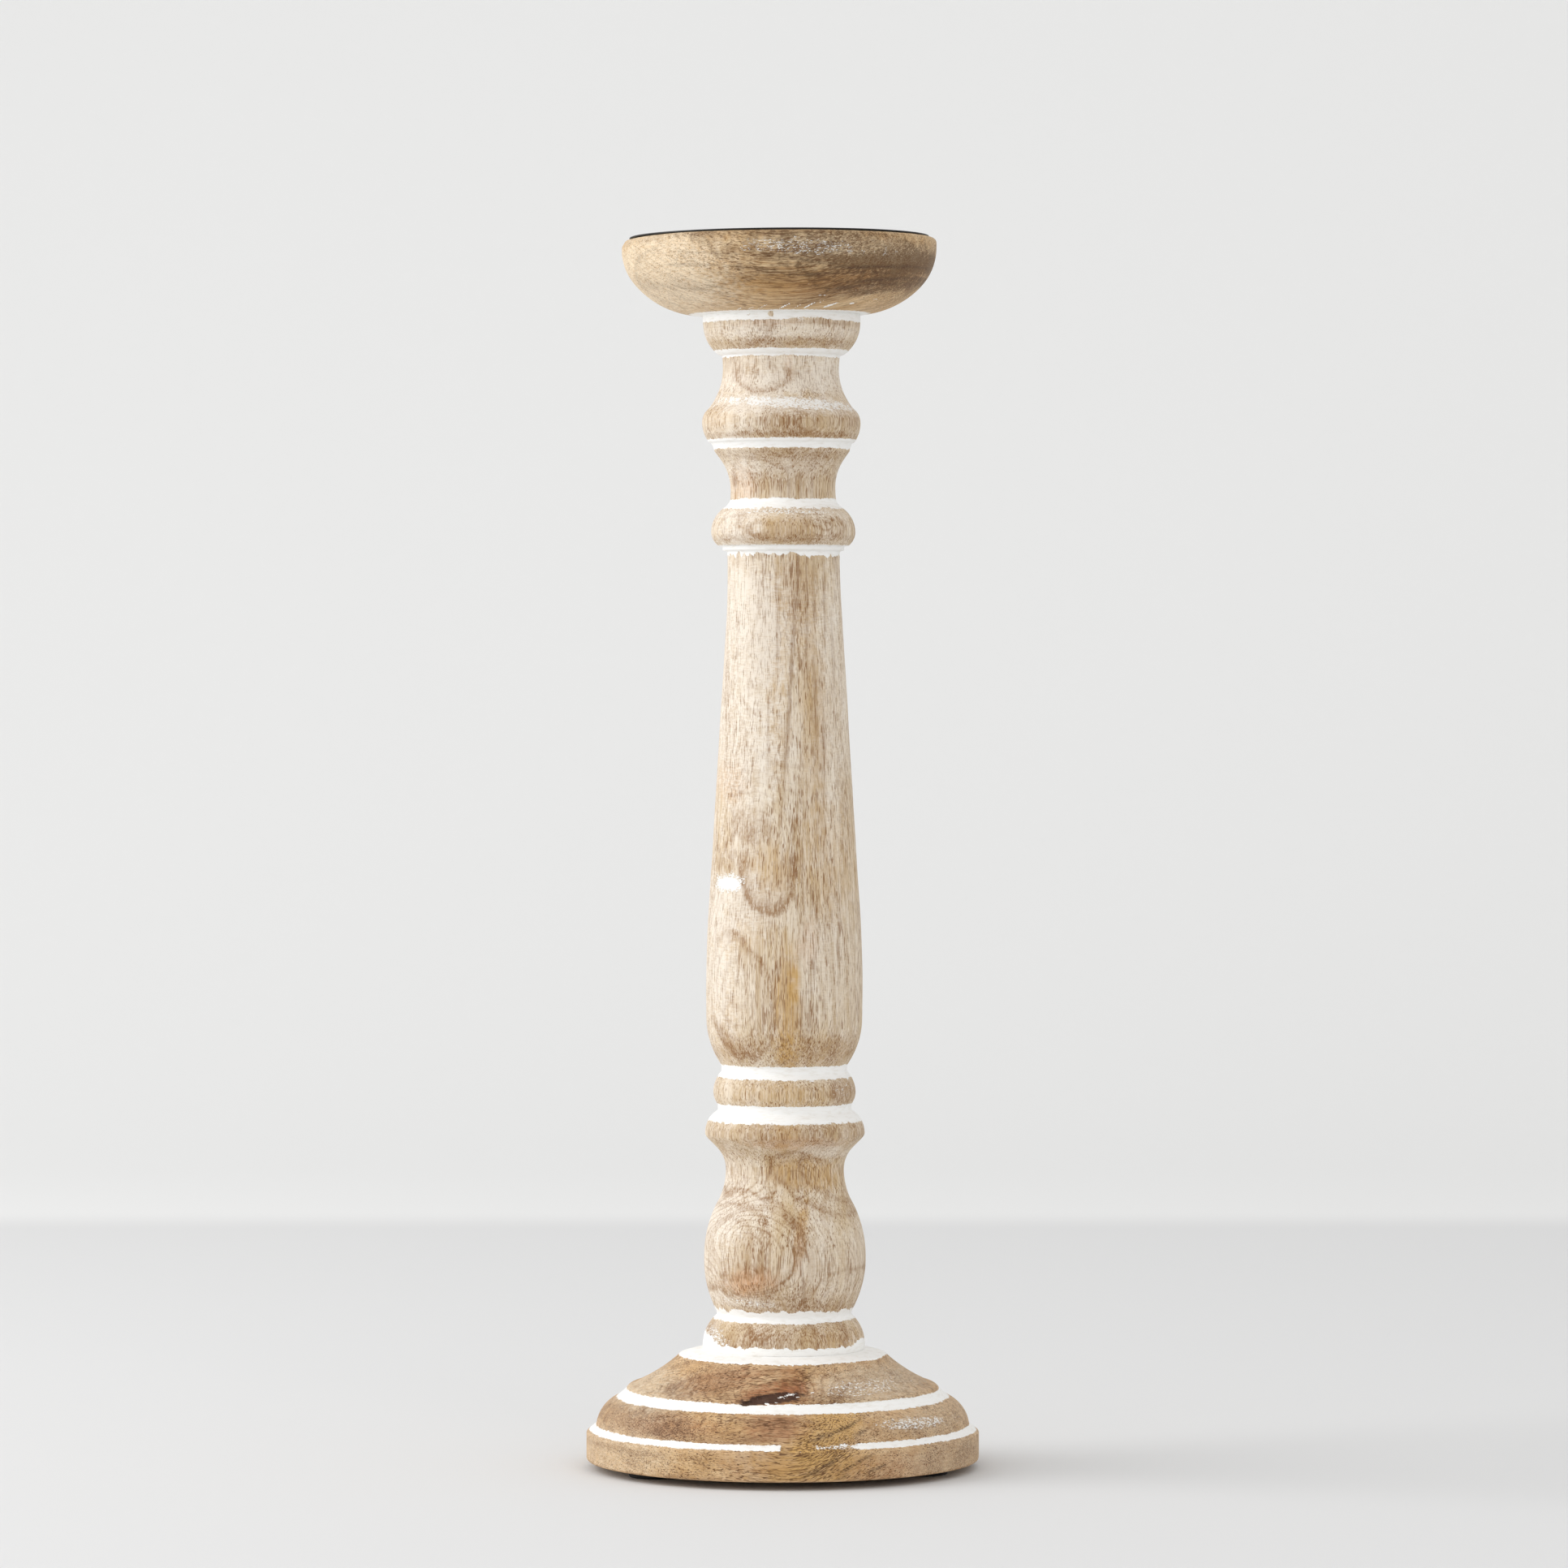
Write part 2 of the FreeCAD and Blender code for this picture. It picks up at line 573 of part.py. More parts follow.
def cut_cross(body, face, into):
    """Cuts a cross recess into a screw's head at height face; into is "up" or "down"."""
    sketch = new_sketch(body, "cross", "XY_Plane", face)
    half_long = "cross_length / 2"
    half_wide = "cross_width / 2"
    long, wide = number(half_long), number(half_wide)
    corners = [
        (wide, wide), (wide, long), (-wide, long), (-wide, wide), (-long, wide), (-long, -wide),
        (-wide, -wide), (-wide, -long), (wide, -long), (wide, -wide), (long, -wide), (long, wide),
    ]
    names = {long: half_long, wide: half_wide}
    lines = []
    for i, corner in enumerate(corners):
        start = FreeCAD.Vector(*corner, 0)
        end = FreeCAD.Vector(*corners[(i + 1) % len(corners)], 0)
        lines.append(sketch.addGeometry(Part.LineSegment(start, end), False))
    for i, (line, corner) in enumerate(zip(lines, corners)):
        last_line = lines[i - 1]
        sketch.addConstraint(Sketcher.Constraint("Coincident", last_line, 2, line, 1))
        for kind, place in zip(("DistanceX", "DistanceY"), corner):
            ends = (-1, 1, line, 1) if place > 0 else (line, 1, -1, 1)
            bind(sketch, names[abs(place)], kind, *ends)
    doc.recompute()
    before = body.Shape.Volume
    pocket = body.newObject("PartDesign::Pocket", f"{body.Label}_recess")
    pocket.Profile = sketch
    pocket.setExpression("Length", cells("cross_deep"))
    pocket.Reversed = into == "up"
    doc.recompute()
    if before - body.Shape.Volume < LEAST_CUT:
        raise ValueError(f"{body.Label}: the cross recess cuts nothing")
    return pocket


def make_base_screw():
    """Pan-head wood screw, driven up through the base into the column."""
    body = new_body("base_screw")
    root = minus("base_screw_radius", "thread_deep")
    head_face = minus(WASHER_BOTTOM, "pan_side", "pan_dome")
    shank_end = plus(WELL_TOP, "base_screw_shank")
    turned(body, "shank", [
        (None, head_face),
        ("pan_top_radius", head_face),
        ("pan_radius", plus(head_face, "pan_dome"), "ends_upright"),
        ("pan_radius", WASHER_BOTTOM),
        ("base_screw_radius", WASHER_BOTTOM),
        ("base_screw_radius", shank_end),
        (root, plus(shank_end, "thread_side")),
        (root, minus(base_screw_tip(), "point_length")),
        (None, base_screw_tip()),
    ])
    add_thread(body, root, plus(shank_end, "thread_pitch / 2"), "up")
    cut_cross(body, head_face, "up")
    return body


def make_base_washer():
    """Flat washer between the base screw's head and the base."""
    body = new_body("base_washer")
    hole = plus("base_screw_radius", "screw_play")
    turning = turned(body, "ring", [
        (hole, WASHER_BOTTOM),
        ("washer_radius", WASHER_BOTTOM),
        ("washer_radius", WELL_TOP),
        (hole, WELL_TOP),
    ])
    edges = [("washer_radius", WASHER_BOTTOM), ("washer_radius", WELL_TOP)]
    rounded(body, turning, "outer_edges", "washer_round", edges)
    return body


def make_dish_screw():
    """Flat-head wood screw, driven down through the dish into the column, under the wax tray."""
    body = new_body("dish_screw")
    root = minus("dish_screw_radius", "thread_deep")
    edge = minus(RECESS_FLOOR, "flat_head_edge")
    cone_end = minus(edge, "flat_head_cone")
    shank_end = minus(cone_end, "dish_screw_shank")
    turned(body, "shank", [
        (None, dish_screw_tip()),
        (root, plus(dish_screw_tip(), "point_length")),
        (root, minus(shank_end, "thread_side")),
        ("dish_screw_radius", shank_end),
        ("dish_screw_radius", cone_end),
        ("flat_head_radius", edge),
        ("flat_head_radius", RECESS_FLOOR),
        (None, RECESS_FLOOR),
    ])
    add_thread(body, root, minus(shank_end, "thread_pitch / 2"), "down")
    cut_cross(body, RECESS_FLOOR, "down")
    return body


def main():
    pieces = [make_foot_pad(i) for i in (1, 2, 3)]
    pieces += [make_base(), make_column(), make_dish(), make_wax_tray()]
    pieces += [make_base_screw(), make_base_washer(), make_dish_screw()]
    doc.recompute()
    failed = [o.Label for o in doc.Objects if {"Invalid", "Error"} & set(o.State)]
    if failed:
        raise RuntimeError(f"objects failed: {failed}")
    for piece in pieces:
        shape = piece.Shape
        if shape.isNull() or not shape.isValid() or len(shape.Solids) != 1:
            raise RuntimeError(f"{piece.Label} is not one valid solid")
    os.makedirs("parts", exist_ok=True)
    for piece in pieces:
        piece.Shape.exportStep(f"parts/{piece.Label}.step")
        print(f"{piece.Label}: {piece.Shape.Volume / 1000:.3f} cm3")


main()
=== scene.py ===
"""Looks of the turned mango-wood candlestick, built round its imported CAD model."""

import math

import bpy
import numpy as np
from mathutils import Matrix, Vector, noise


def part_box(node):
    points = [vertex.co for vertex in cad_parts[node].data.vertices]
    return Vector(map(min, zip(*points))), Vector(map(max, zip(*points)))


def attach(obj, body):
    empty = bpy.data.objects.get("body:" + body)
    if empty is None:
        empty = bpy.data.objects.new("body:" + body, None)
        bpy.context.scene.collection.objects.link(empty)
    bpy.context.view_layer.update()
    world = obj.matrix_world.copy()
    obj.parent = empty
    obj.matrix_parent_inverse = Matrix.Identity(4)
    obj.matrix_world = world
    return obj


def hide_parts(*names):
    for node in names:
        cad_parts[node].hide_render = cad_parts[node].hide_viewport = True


MM = 0.001
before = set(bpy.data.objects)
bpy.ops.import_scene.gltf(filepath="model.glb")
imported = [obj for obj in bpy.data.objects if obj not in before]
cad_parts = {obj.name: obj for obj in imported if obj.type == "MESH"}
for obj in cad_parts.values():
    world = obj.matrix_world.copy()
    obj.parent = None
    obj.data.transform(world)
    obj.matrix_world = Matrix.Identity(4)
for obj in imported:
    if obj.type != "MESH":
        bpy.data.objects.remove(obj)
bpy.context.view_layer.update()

# The camera stands 2.05 m in front of the axis, a little above the candlestick's middle.
CAMERA_DISTANCE = 2.052
CAMERA_HEIGHT = 0.2503
CAMERA_SIDE = 0.0004
CAMERA_PITCH = math.radians(1.085)
CAMERA_LENS = 152.5

# How far the hand-turned column runs out of true: (height, sideways offset), both in mm.
COLUMN_WANDER = [
    (20, 0.3), (42, 0.38), (62, 0.68), (104, 0.68), (122, 0.5), (262, 0.5), (289, 0.2),
    (302, 0.1), (322, -0.4), (340, -0.6), (352, -0.3), (363, -0.3),
]
DISH_OFFSET = -0.9
DISH_TILT = math.radians(0.42)


# ---- small helpers -----------------------------------------------------------------------------

def smooth(value, low, high):
    """0 below low, 1 above high, and an even curve between."""
    t = np.clip((value - low) / (high - low), 0, 1)
    return t * t * (3 - 2 * t)


def ridge(value, low, high, edge):
    """1 between low and high, falling to 0 over edge on both sides."""
    rise = smooth(value, low - edge / 2, low + edge / 2)
    fall = smooth(value, high - edge / 2, high + edge / 2)
    return rise * (1 - fall)


def grain_noise(points, scale, seed, octaves=1):
    """Signed noise at points (an N x 3 array in mm). scale is one feature size in mm, or three."""
    shifted = points / np.asarray(scale, float) + np.array([seed * 7.31, seed * 3.77, seed * 5.13])
    if octaves == 1:
        return np.array([noise.noise(p) for p in shifted])
    return np.array([noise.fractal(p, 1.0, 2.0, octaves) for p in shifted])


# ---- lathe pieces ------------------------------------------------------------------------------

CORNER_TURN = math.radians(18)
ARRIS = 0.3
# Outlines get fewer points, in mm, where they run level and inside joints nobody sees.
LEVEL = 0.01
LEVEL_SPACING = 2.5
HIDDEN_SPACING = 50


def seam_loop(node):
    """The outline of a turned CAD node, as (radius, height) points in mm, in order along it."""
    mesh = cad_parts[node].data
    places = {}
    links = {}
    for vertex in mesh.vertices:
        x, y, z = vertex.co
        if abs(y) < 1e-6 and x > -1e-6:
            places[vertex.index] = (round(x / MM, 3), round(z / MM, 3))
    for edge in mesh.edges:
        a, b = (places.get(i) for i in edge.vertices)
        if a is None or b is None or a == b:
            continue
        links.setdefault(a, set()).add(b)
        links.setdefault(b, set()).add(a)
    free_ends = [p for p, near in links.items() if len(near) == 1]
    path = [min(free_ends) if free_ends else min(links, key=lambda p: (p[1], p[0]))]
    while True:
        onward = [p for p in links[path[-1]] if p not in path]
        if not onward:
            return np.array(path), not free_ends
        path.append(min(onward, key=lambda p: math.dist(p, path[-1])))


def blunted(points, closed):
    """Splits an outline at its corners, and wears each corner down by ARRIS."""
    count = len(points)
    stretches = [[]]
    for i, point in enumerate(points):
        before, after = points[i - 1], points[(i + 1) % count]
        inner = closed or 0 < i < count - 1
        way_in, way_out = point - before, after - point
        turn = abs(math.remainder(
            math.atan2(way_out[1], way_out[0]) - math.atan2(way_in[1], way_in[0]), 2 * math.pi
        ))
        if not inner or turn < CORNER_TURN:
            stretches[-1].append(point)
            continue
        back = min(ARRIS, np.linalg.norm(way_in) * 0.3)
        forth = min(ARRIS, np.linalg.norm(way_out) * 0.3)
        first = point - way_in / np.linalg.norm(way_in) * back
        last = point + way_out / np.linalg.norm(way_out) * forth
        stretches[-1].append(first)
        stretches.append([first, (first + last + 2 * point) / 4, last])
        stretches.append([last])
    if closed and len(stretches) > 1:
        stretches[0] = stretches.pop() + stretches[0]
    return [np.array(s) for s in stretches if len(s) > 1]


def resampled(stretch, spacing):
    """Points along a smooth curve through the stretch, about spacing apart, without the last.

    Where the curve runs level, the points are at least LEVEL_SPACING apart.
    """
    steps = np.diff(stretch, axis=0)
    lengths = np.linalg.norm(steps, axis=1)
    slopes = steps / lengths[:, None]
    tangents = np.empty_like(stretch)
    tangents[0], tangents[-1] = slopes[0], slopes[-1]
    weight = lengths[:-1] / (lengths[:-1] + lengths[1:])
    tangents[1:-1] = slopes[:-1] * (1 - weight[:, None]) + slopes[1:] * weight[:, None]
    result = []
    for i, length in enumerate(lengths):
        gap = max(spacing, LEVEL_SPACING) if abs(steps[i, 1]) < LEVEL else spacing
        t = np.linspace(0, 1, max(1, round(length / gap)), endpoint=False)[:, None]
        result.append(
            (2 * t**3 - 3 * t**2 + 1) * stretch[i] + (t**3 - 2 * t**2 + t) * length * tangents[i]
            + (3 * t**2 - 2 * t**3) * stretch[i + 1] + (t**3 - t**2) * length * tangents[i + 1]
        )
    return np.concatenate(result)


def lathe(name, node, shape, segments, spacing, hidden_radius):
    """A dense turned mesh on a CAD node's own outline, with rings about spacing mm apart.

    shape(points) takes the mesh's points in mm as an N x 3 array and returns them moved, with
    {attribute name: value per point}. Stretches inside hidden_radius get no extra rings.
    """
    points, closed = seam_loop(node)
    rings = []
    for stretch in blunted(points, closed):
        hidden = stretch[:, 0].max() <= hidden_radius
        rings.append(resampled(stretch, HIDDEN_SPACING if hidden else spacing))
    if not closed:
        rings.append(points[-1:])
    outline = np.concatenate(rings)
    turn = np.arange(segments) / segments * 2 * math.pi
    radius, height = outline[:, 0][:, None], outline[:, 1][:, None]
    grid = np.stack([
        radius * np.cos(turn), radius * np.sin(turn), height + 0 * turn,
    ], axis=-1).reshape(-1, 3)
    moved, attributes = shape(grid)
    rows = len(outline)
    row = np.arange(rows if closed else rows - 1)[:, None] * segments
    next_row = (row + segments) % (rows * segments)
    column = np.arange(segments)[None, :]
    next_column = (column + 1) % segments
    quads = np.stack([row + column, next_row + column, next_row + next_column, row + next_column], -1)
    faces = quads.reshape(-1, 4).tolist()
    if not closed:
        faces.append(list(range(segments)))
        faces.append(list(range((rows - 1) * segments, rows * segments))[::-1])
    mesh = bpy.data.meshes.new(name)
    mesh.from_pydata((moved * MM).tolist(), [], faces)
    mesh.validate()
    if signed_volume(mesh) < 0:
        mesh.flip_normals()
    mesh.shade_smooth()
    for label, values in attributes.items():
        layer = mesh.attributes.new(label, "FLOAT", "POINT")
        layer.data.foreach_set("value", np.asarray(values, np.float32))
    piece = bpy.data.objects.new(name, mesh)
    bpy.context.scene.collection.objects.link(piece)
    return piece


def signed_volume(mesh):
    """Six times the enclosed volume: negative if the faces look inwards."""
    mesh.calc_loop_triangles()
    corners = np.empty(len(mesh.loop_triangles) * 3, np.int32)
    mesh.loop_triangles.foreach_get("vertices", corners)
    places = np.empty(len(mesh.vertices) * 3, np.float32)
    mesh.vertices.foreach_get("co", places)
    a, b, c = places.reshape(-1, 3)[corners.reshape(-1, 3)].transpose(1, 0, 2)
    return float(np.einsum("ij,ij->i", a, np.cross(b, c)).sum())


# ---- paint and wear ----------------------------------------------------------------------------

PAINT_FILM = 0.12

# White paint left in the turned grooves: (lower edge, upper edge, raggedness below, above), mm.
COLUMN_PAINT = [
    (34.0, 39.0, 0.2, 0.9), (46.4, 49.9, 0.3, 0.9), (107.6, 112.9, 0.4, 0.3),
    (121.0, 125.0, 0.3, 0.3), (281.9, 285.1, 1.3, 0.1), (296.4, 299.3, 0.4, 0.4),
    (314.7, 317.7, 0.3, 0.2), (342.9, 345.1, 0.5, 0.2), (353.6, 360.0, 0.3, 0.1),
]
BASE_PAINT = [(11.9, 13.6, 0.2, 0.25), (22.0, 24.75, 0.2, 0.25), (35.0, 40.0, 0.3, 0.1)]
PAINT_FEATHER = 1.4


def painted_bands(points, bands, seed):
    """How thick the paint lies at each point, 0 to 1, from the bands with brushed edges."""
    sway = 0.7 * grain_noise(points, (9, 9, 40), seed, 2)
    rag = grain_noise(points, (1.6, 1.6, 5), seed + 1, 2)
    height = points[:, 2]
    paint = np.zeros(len(points))
    for low, high, ragged_low, ragged_high in bands:
        shift_low = (sway + rag) * ragged_low
        shift_high = (rag - sway) * ragged_high
        paint = np.maximum(paint, ridge(height, low + shift_low, high + shift_high, PAINT_FEATHER))
    return paint


# Marks fade out over SIDE_FADE mm behind the axis, where OUT_OF_REACH is added to their reach.
# The rags are how far noise moves an edge, in half-sizes, and a growth line is soft over
# LINE_OUTER_EDGE mm on its outer side.
SIDE_FADE = 14
OUT_OF_REACH = 9
PATCH_RAG = 0.35
LINE_RAG = 0.13
LINE_OUTER_EDGE = 0.8


def front_reach(points, centre, size, tilt):
    """Distance from centre (x, z) as seen from the front, in half-sizes of a tilted ellipse.

    It grows beyond any mark's reach round the side, so no mark shows at the back.
    """
    across = points[:, 0] - centre[0]
    up = points[:, 2] - centre[1]
    cos, sin = math.cos(math.radians(tilt)), math.sin(math.radians(tilt))
    reach = np.hypot((across * cos + up * sin) / size[0], (up * cos - across * sin) / size[1])
    return reach + OUT_OF_REACH * smooth(points[:, 1], 0, SIDE_FADE)


def patches(points, marks, seed):
    """Sum of soft, ragged ellipses on the front: (strength, centre, half-sizes, tilt, softness)."""
    rag = grain_noise(points, (1.6, 1.6, 4), seed, 2)
    total = np.zeros(len(points))
    for strength, centre, size, tilt, soft in marks:
        reach = front_reach(points, centre, size, tilt) + PATCH_RAG * rag
        total += strength * (1 - smooth(reach, 1 - soft / 2, 1 + soft / 2))
    return total


def contours(points, marks, seed):
    """Sum of open growth lines on the front, each part of an ellipse with a sharp outer edge.

    A mark is (strength, centre, half-sizes, tilt, width, missing direction, its half-width), with
    the directions in degrees, anticlockwise from +X as seen from the front.
    """
    rag = grain_noise(points, (5, 5, 10), seed, 3)
    total = np.zeros(len(points))
    for strength, centre, size, tilt, width, missing, gap in marks:
        inside = (1 - front_reach(points, centre, size, tilt) + LINE_RAG * rag) * sum(size) / 2
        fade_out = np.exp(-(inside / LINE_OUTER_EDGE) ** 2)
        line = np.where(inside > 0, np.exp(-(inside / width)), fade_out)
        heading = np.degrees(np.arctan2(points[:, 2] - centre[1], points[:, 0] - centre[0]))
        away = np.abs((heading - missing + 180) % 360 - 180)
        total += strength * line * smooth(away, gap - 15, gap + 15)
    return total


def growth_age(points, along, pith, ring, bumps, seed):
    """Years of growth at each point: one line of late wood lies at every whole number.

    The rings run about a line in direction along (0 for X, 2 for Z), at pith in the other two
    coordinates. bumps push them out of true, as the tree's own knots and waves do.
    """
    across = np.delete(points, along, axis=1) - np.asarray(pith, float)
    wave = np.where(np.arange(3) == along, 60, 30)
    age = np.hypot(*across.T) / ring + 0.9 * grain_noise(points, wave, seed, 2)
    for strength, centre, size, tilt in bumps:
        age += strength * np.exp(-front_reach(points, centre, size, tilt) ** 2)
    return age


def marked(shown, fields):
    """fields with the marks left only where shown is true. Paint and growth lines stay."""
    everywhere = ("paint", "age")
    return {
        name: field if name in everywhere else np.where(shown, field, 0)
        for name, field in fields.items()
    }


def outward(points, amount):
    """Moves points away from the axis by amount, in mm."""
    radius = np.maximum(np.hypot(points[:, 0], points[:, 1]), 1e-6)
    moved = points.copy()
    moved[:, :2] *= (1 + amount / radius)[:, None]
    return moved


# Marks in the column's wood, with painted shade beside its beads and in its coves, all in mm: see patches,
# contours and growth_age.
COLUMN_AMBER = [
    (0.8, (1.4, 144), (4.0, 19), 0, 0.8), (0.8, (3.6, 151), (1.7, 5), 0, 0.8),
    (0.55, (-4, 184), (6.0, 9), 0, 1.0), (0.55, (-1.6, 246), (3.4, 28), 0, 1.2),
    (0.45, (9, 232), (4.0, 26), 2, 1.2), (0.5, (5, 268), (5, 14), 0, 1.2),
    (0.9, (5.6, 75), (1.8, 9), -8, 0.7), (0.8, (6.5, 92), (10, 4.6), -8, 0.9),
    (0.7, (1.7, 104), (4.5, 5), 0, 0.9), (0.5, (1.0, 116), (13, 4), 0, 1.2),
    (0.45, (-9.4, 340.5), (2.4, 4), 0, 0.8), (0.5, (-19.5, 323.5), (4, 4), 0, 0.8),
    (0.4, (-5, 291), (14, 5), 0, 1.2), (0.4, (14, 41), (9, 4), 0, 1.0),
    (0.4, (-12, 166), (9, 5), 20, 1.2), (0.4, (13, 188), (8, 16), 0, 1.2),
    (0.4, (8, 130), (14, 5), 0, 1.2),
    (0.45, (-16.3, 212), (5.0, 7), 20, 1.0), (0.4, (-18, 140), (4, 18), 0, 1.2),
]
COLUMN_RUST = [
    (0.8, (-10.5, 59.4), (7.4, 3.8), 6, 1.0), (0.4, (4.0, 101.8), (14, 1.8), 0, 0.9),
    (0.4, (5.0, 69), (1.6, 7), -6, 0.8), (0.4, (-12.5, 303.5), (3.4, 6.5), 0, 0.7),
    (0.25, (-16.3, 212), (4.5, 6), 20, 0.9), (0.35, (1.9, 340), (1.2, 6), 0, 0.8),
    (0.3, (8, 163), (3, 6), 0, 1.0), (0.3, (-4, 352.6), (10, 1.0), 0, 0.9),
]
# Darker patches: stains in the wood, and painted shade in the thin bands beside the paint, under the beads
# and in the coves.
COLUMN_STAIN_AND_SHADE = [
    (0.5, (6, 50.4), (16, 3.6), 0, 1.1), (0.45, (4, 105.0), (24, 3.0), 0, 1.1),
    (0.7, (18.5, 117), (4.5, 4.4), 0, 0.9), (0.45, (14, 130), (11, 4.0), 0, 1.1),
    (0.35, (-16, 129.5), (9, 2.2), 8, 1.0), (0.3, (10.5, 232), (3.2, 24), 2, 1.2),
    (0.3, (6, 272), (5, 12), 0, 1.2), (0.45, (2, 312.8), (17, 1.8), 0, 0.9),
    (0.3, (4, 307), (13, 5.0), 0, 1.1), (0.55, (0, 318.7), (21, 1.0), 0, 0.9),
    (0.3, (6, 322.5), (13, 4), 0, 1.1), (0.55, (3, 346.9), (21, 1.3), 0, 0.9),
    (0.5, (10, 352.8), (11, 0.7), 0, 0.9), (0.5, (0, 287.2), (20, 1.2), 0, 1.0),
    (0.3, (-17, 188), (3, 5), 0, 1.0), (0.35, (-9.4, 199.5), (5.5, 5), 0, 1.1),
    (0.5, (4.6, 200), (1.6, 2.0), 0, 0.8), (0.4, (-4, 41), (20, 4), 0, 1.2),
]
COLUMN_CONTOURS = [
    (1.2, (-4.2, 186), (8.4, 14.3), 0, 2.4, 90, 62), (0.9, (-13.5, 147), (10.0, 19.3), 12, 1.6, 165, 60),
    (0.45, (-9.4, 199.3), (5.0, 5.2), 0, 1.4, 60, 70), (0.9, (-5.9, 337), (8.3, 5.0), 0, 0.9, 90, 70),
    (0.8, (11.0, 89), (15.5, 7.0), -30, 1.1, 40, 60), (0.6, (15, 90), (11, 4.6), -32, 0.9, 40, 60),
    (0.9, (-15.7, 71), (21.5, 15.5), -6, 0.8, 180, 60), (0.6, (-15.7, 71.5), (12.5, 11), -6, 0.6, 180, 60),
    (0.4, (-15.7, 71.5), (7.0, 7), -6, 0.8, 180, 60), (0.4, (-10.5, 58.5), (8.4, 5.6), 6, 0.7, 270, 50),
    (0.2, (-10.5, 58.0), (5.2, 3.6), 6, 0.6, 270, 50), (0.6, (16, 55), (12, 6), 30, 0.9, 300, 80),
    (0.55, (5.4, 322.8), (5.0, 4.0), 0, 0.8, 90, 60), (0.5, (13, 322.5), (8.5, 4.6), 0, 0.8, 90, 60),
    (0.7, (16.2, 290.5), (2.6, 2.2), 0, 0.8, 90, 5), (0.55, (-3, 292), (10, 5.4), 0, 1.0, 90, 70),
    (0.45, (-16, 350), (13, 5.5), 8, 1.0, 150, 70), (0.5, (8.2, 41), (2.2, 4.4), 0, 0.8, 90, 5),
    (0.55, (14, 41.5), (5.5, 6), 0, 0.9, 180, 60), (0.45, (-7, 44), (3.2, 2.6), 0, 0.8, 90, 60),
    (0.5, (-16, 43), (7, 3.6), 0, 0.9, 90, 60),
]
COLUMN_STREAKS = [
    (0.55, (2.4, 243), (0.6, 40), -3.6, 1.2), (0.35, (-1.6, 262), (0.45, 18), 0, 0.8),
    (0.4, (7.4, 262), (0.45, 22), 0, 0.8), (0.4, (10.0, 236), (0.5, 16), 2, 0.8),
    (0.4, (12.5, 224), (0.45, 12), 0, 0.8), (0.4, (9.6, 272), (0.45, 12), 1, 0.8),
    (0.35, (4.6, 276), (0.4, 9), 0, 0.8), (0.35, (12.8, 264), (0.4, 16), 1, 0.8),
    (0.3, (15.4, 252), (0.4, 14), 2, 0.8), (0.3, (-4.4, 226), (0.4, 14), 0, 0.8),
    (0.3, (6.2, 186), (0.4, 12), 0, 0.8), (0.3, (17.2, 168), (0.4, 18), 0, 0.8),
    (0.45, (6.3, 58), (0.6, 9), 6, 0.8),
    (0.5, (-14.8, 305), (0.7, 2.2), 0, 0.8), (0.8, (-5.5, 40.6), (0.8, 0.7), 0, 0.5),
    (0.4, (1.8, 302), (0.45, 6), 0, 0.8), (0.4, (5.5, 302), (0.45, 6), 0, 0.8),
    (0.4, (9, 302), (0.45, 5), 0, 0.8), (0.35, (-14.0, 208.6), (2.2, 0.35), 12, 0.8),
]
COLUMN_CHALK = [
    (0.9, (0, 327.8), (26, 2.8), -3, 0.8), (0.6, (-6, 334), (18, 3.4), 0, 1.0),
    (0.5, (0, 294.8), (22, 1.8), 0, 0.9), (0.6, (-14, 53), (11, 2.2), -6, 0.9),
    (0.8, (-13, 242), (12, 50), 0, 0.9), (0.8, (-12, 174), (11, 9), 0, 1.1),
    (0.5, (16, 240), (5, 50), 0, 1.0), (0.5, (0, 262), (14, 16), 0, 1.2), (0.7, (0, 338), (20, 7), 0, 1.0),
    (0.5, (-16, 150), (6, 14), 10, 1.0), (0.45, (14, 156), (9, 18), 0, 1.0),
    (0.35, (2, 222), (8, 16), 0, 1.0), (0.6, (-14, 84), (11, 11), 0, 1.0),
    (0.6, (13, 99), (9, 1.8), -8, 0.8), (0.4, (0, 309), (20, 3), 0, 1.0),
    (0.8, (-4, 350.8), (26, 3), 0, 1.0), (0.5, (-16, 322.5), (9, 5), 0, 1.0),
    (0.5, (-15, 310), (8, 8), 0, 1.0), (0.5, (-15, 291), (9, 5), 0, 1.0),
    (0.45, (13, 66), (11, 12), 0, 1.0), (0.45, (14, 336), (8, 7), 0, 1.0),
    (0.7, (-23, 150), (7, 40), 0, 1.0), (0.7, (-22, 70), (8, 20), 0, 1.0),
]
COLUMN_SPLASHES = [
    (0.9, (-16.6, 181.2), (3.7, 1.9), 4, 0.8), (0.85, (-23.6, 39.4), (5.0, 2.6), -38, 0.7),
    (0.8, (23.4, 38.0), (4.2, 2.2), 24, 0.7), (0.56, (2, 328.4), (25, 2.2), -3, 0.9),
    (0.48, (0, 295.0), (22, 1.2), 0, 0.9), (0.44, (-10, 52.6), (12, 1.8), -4, 0.9),
]
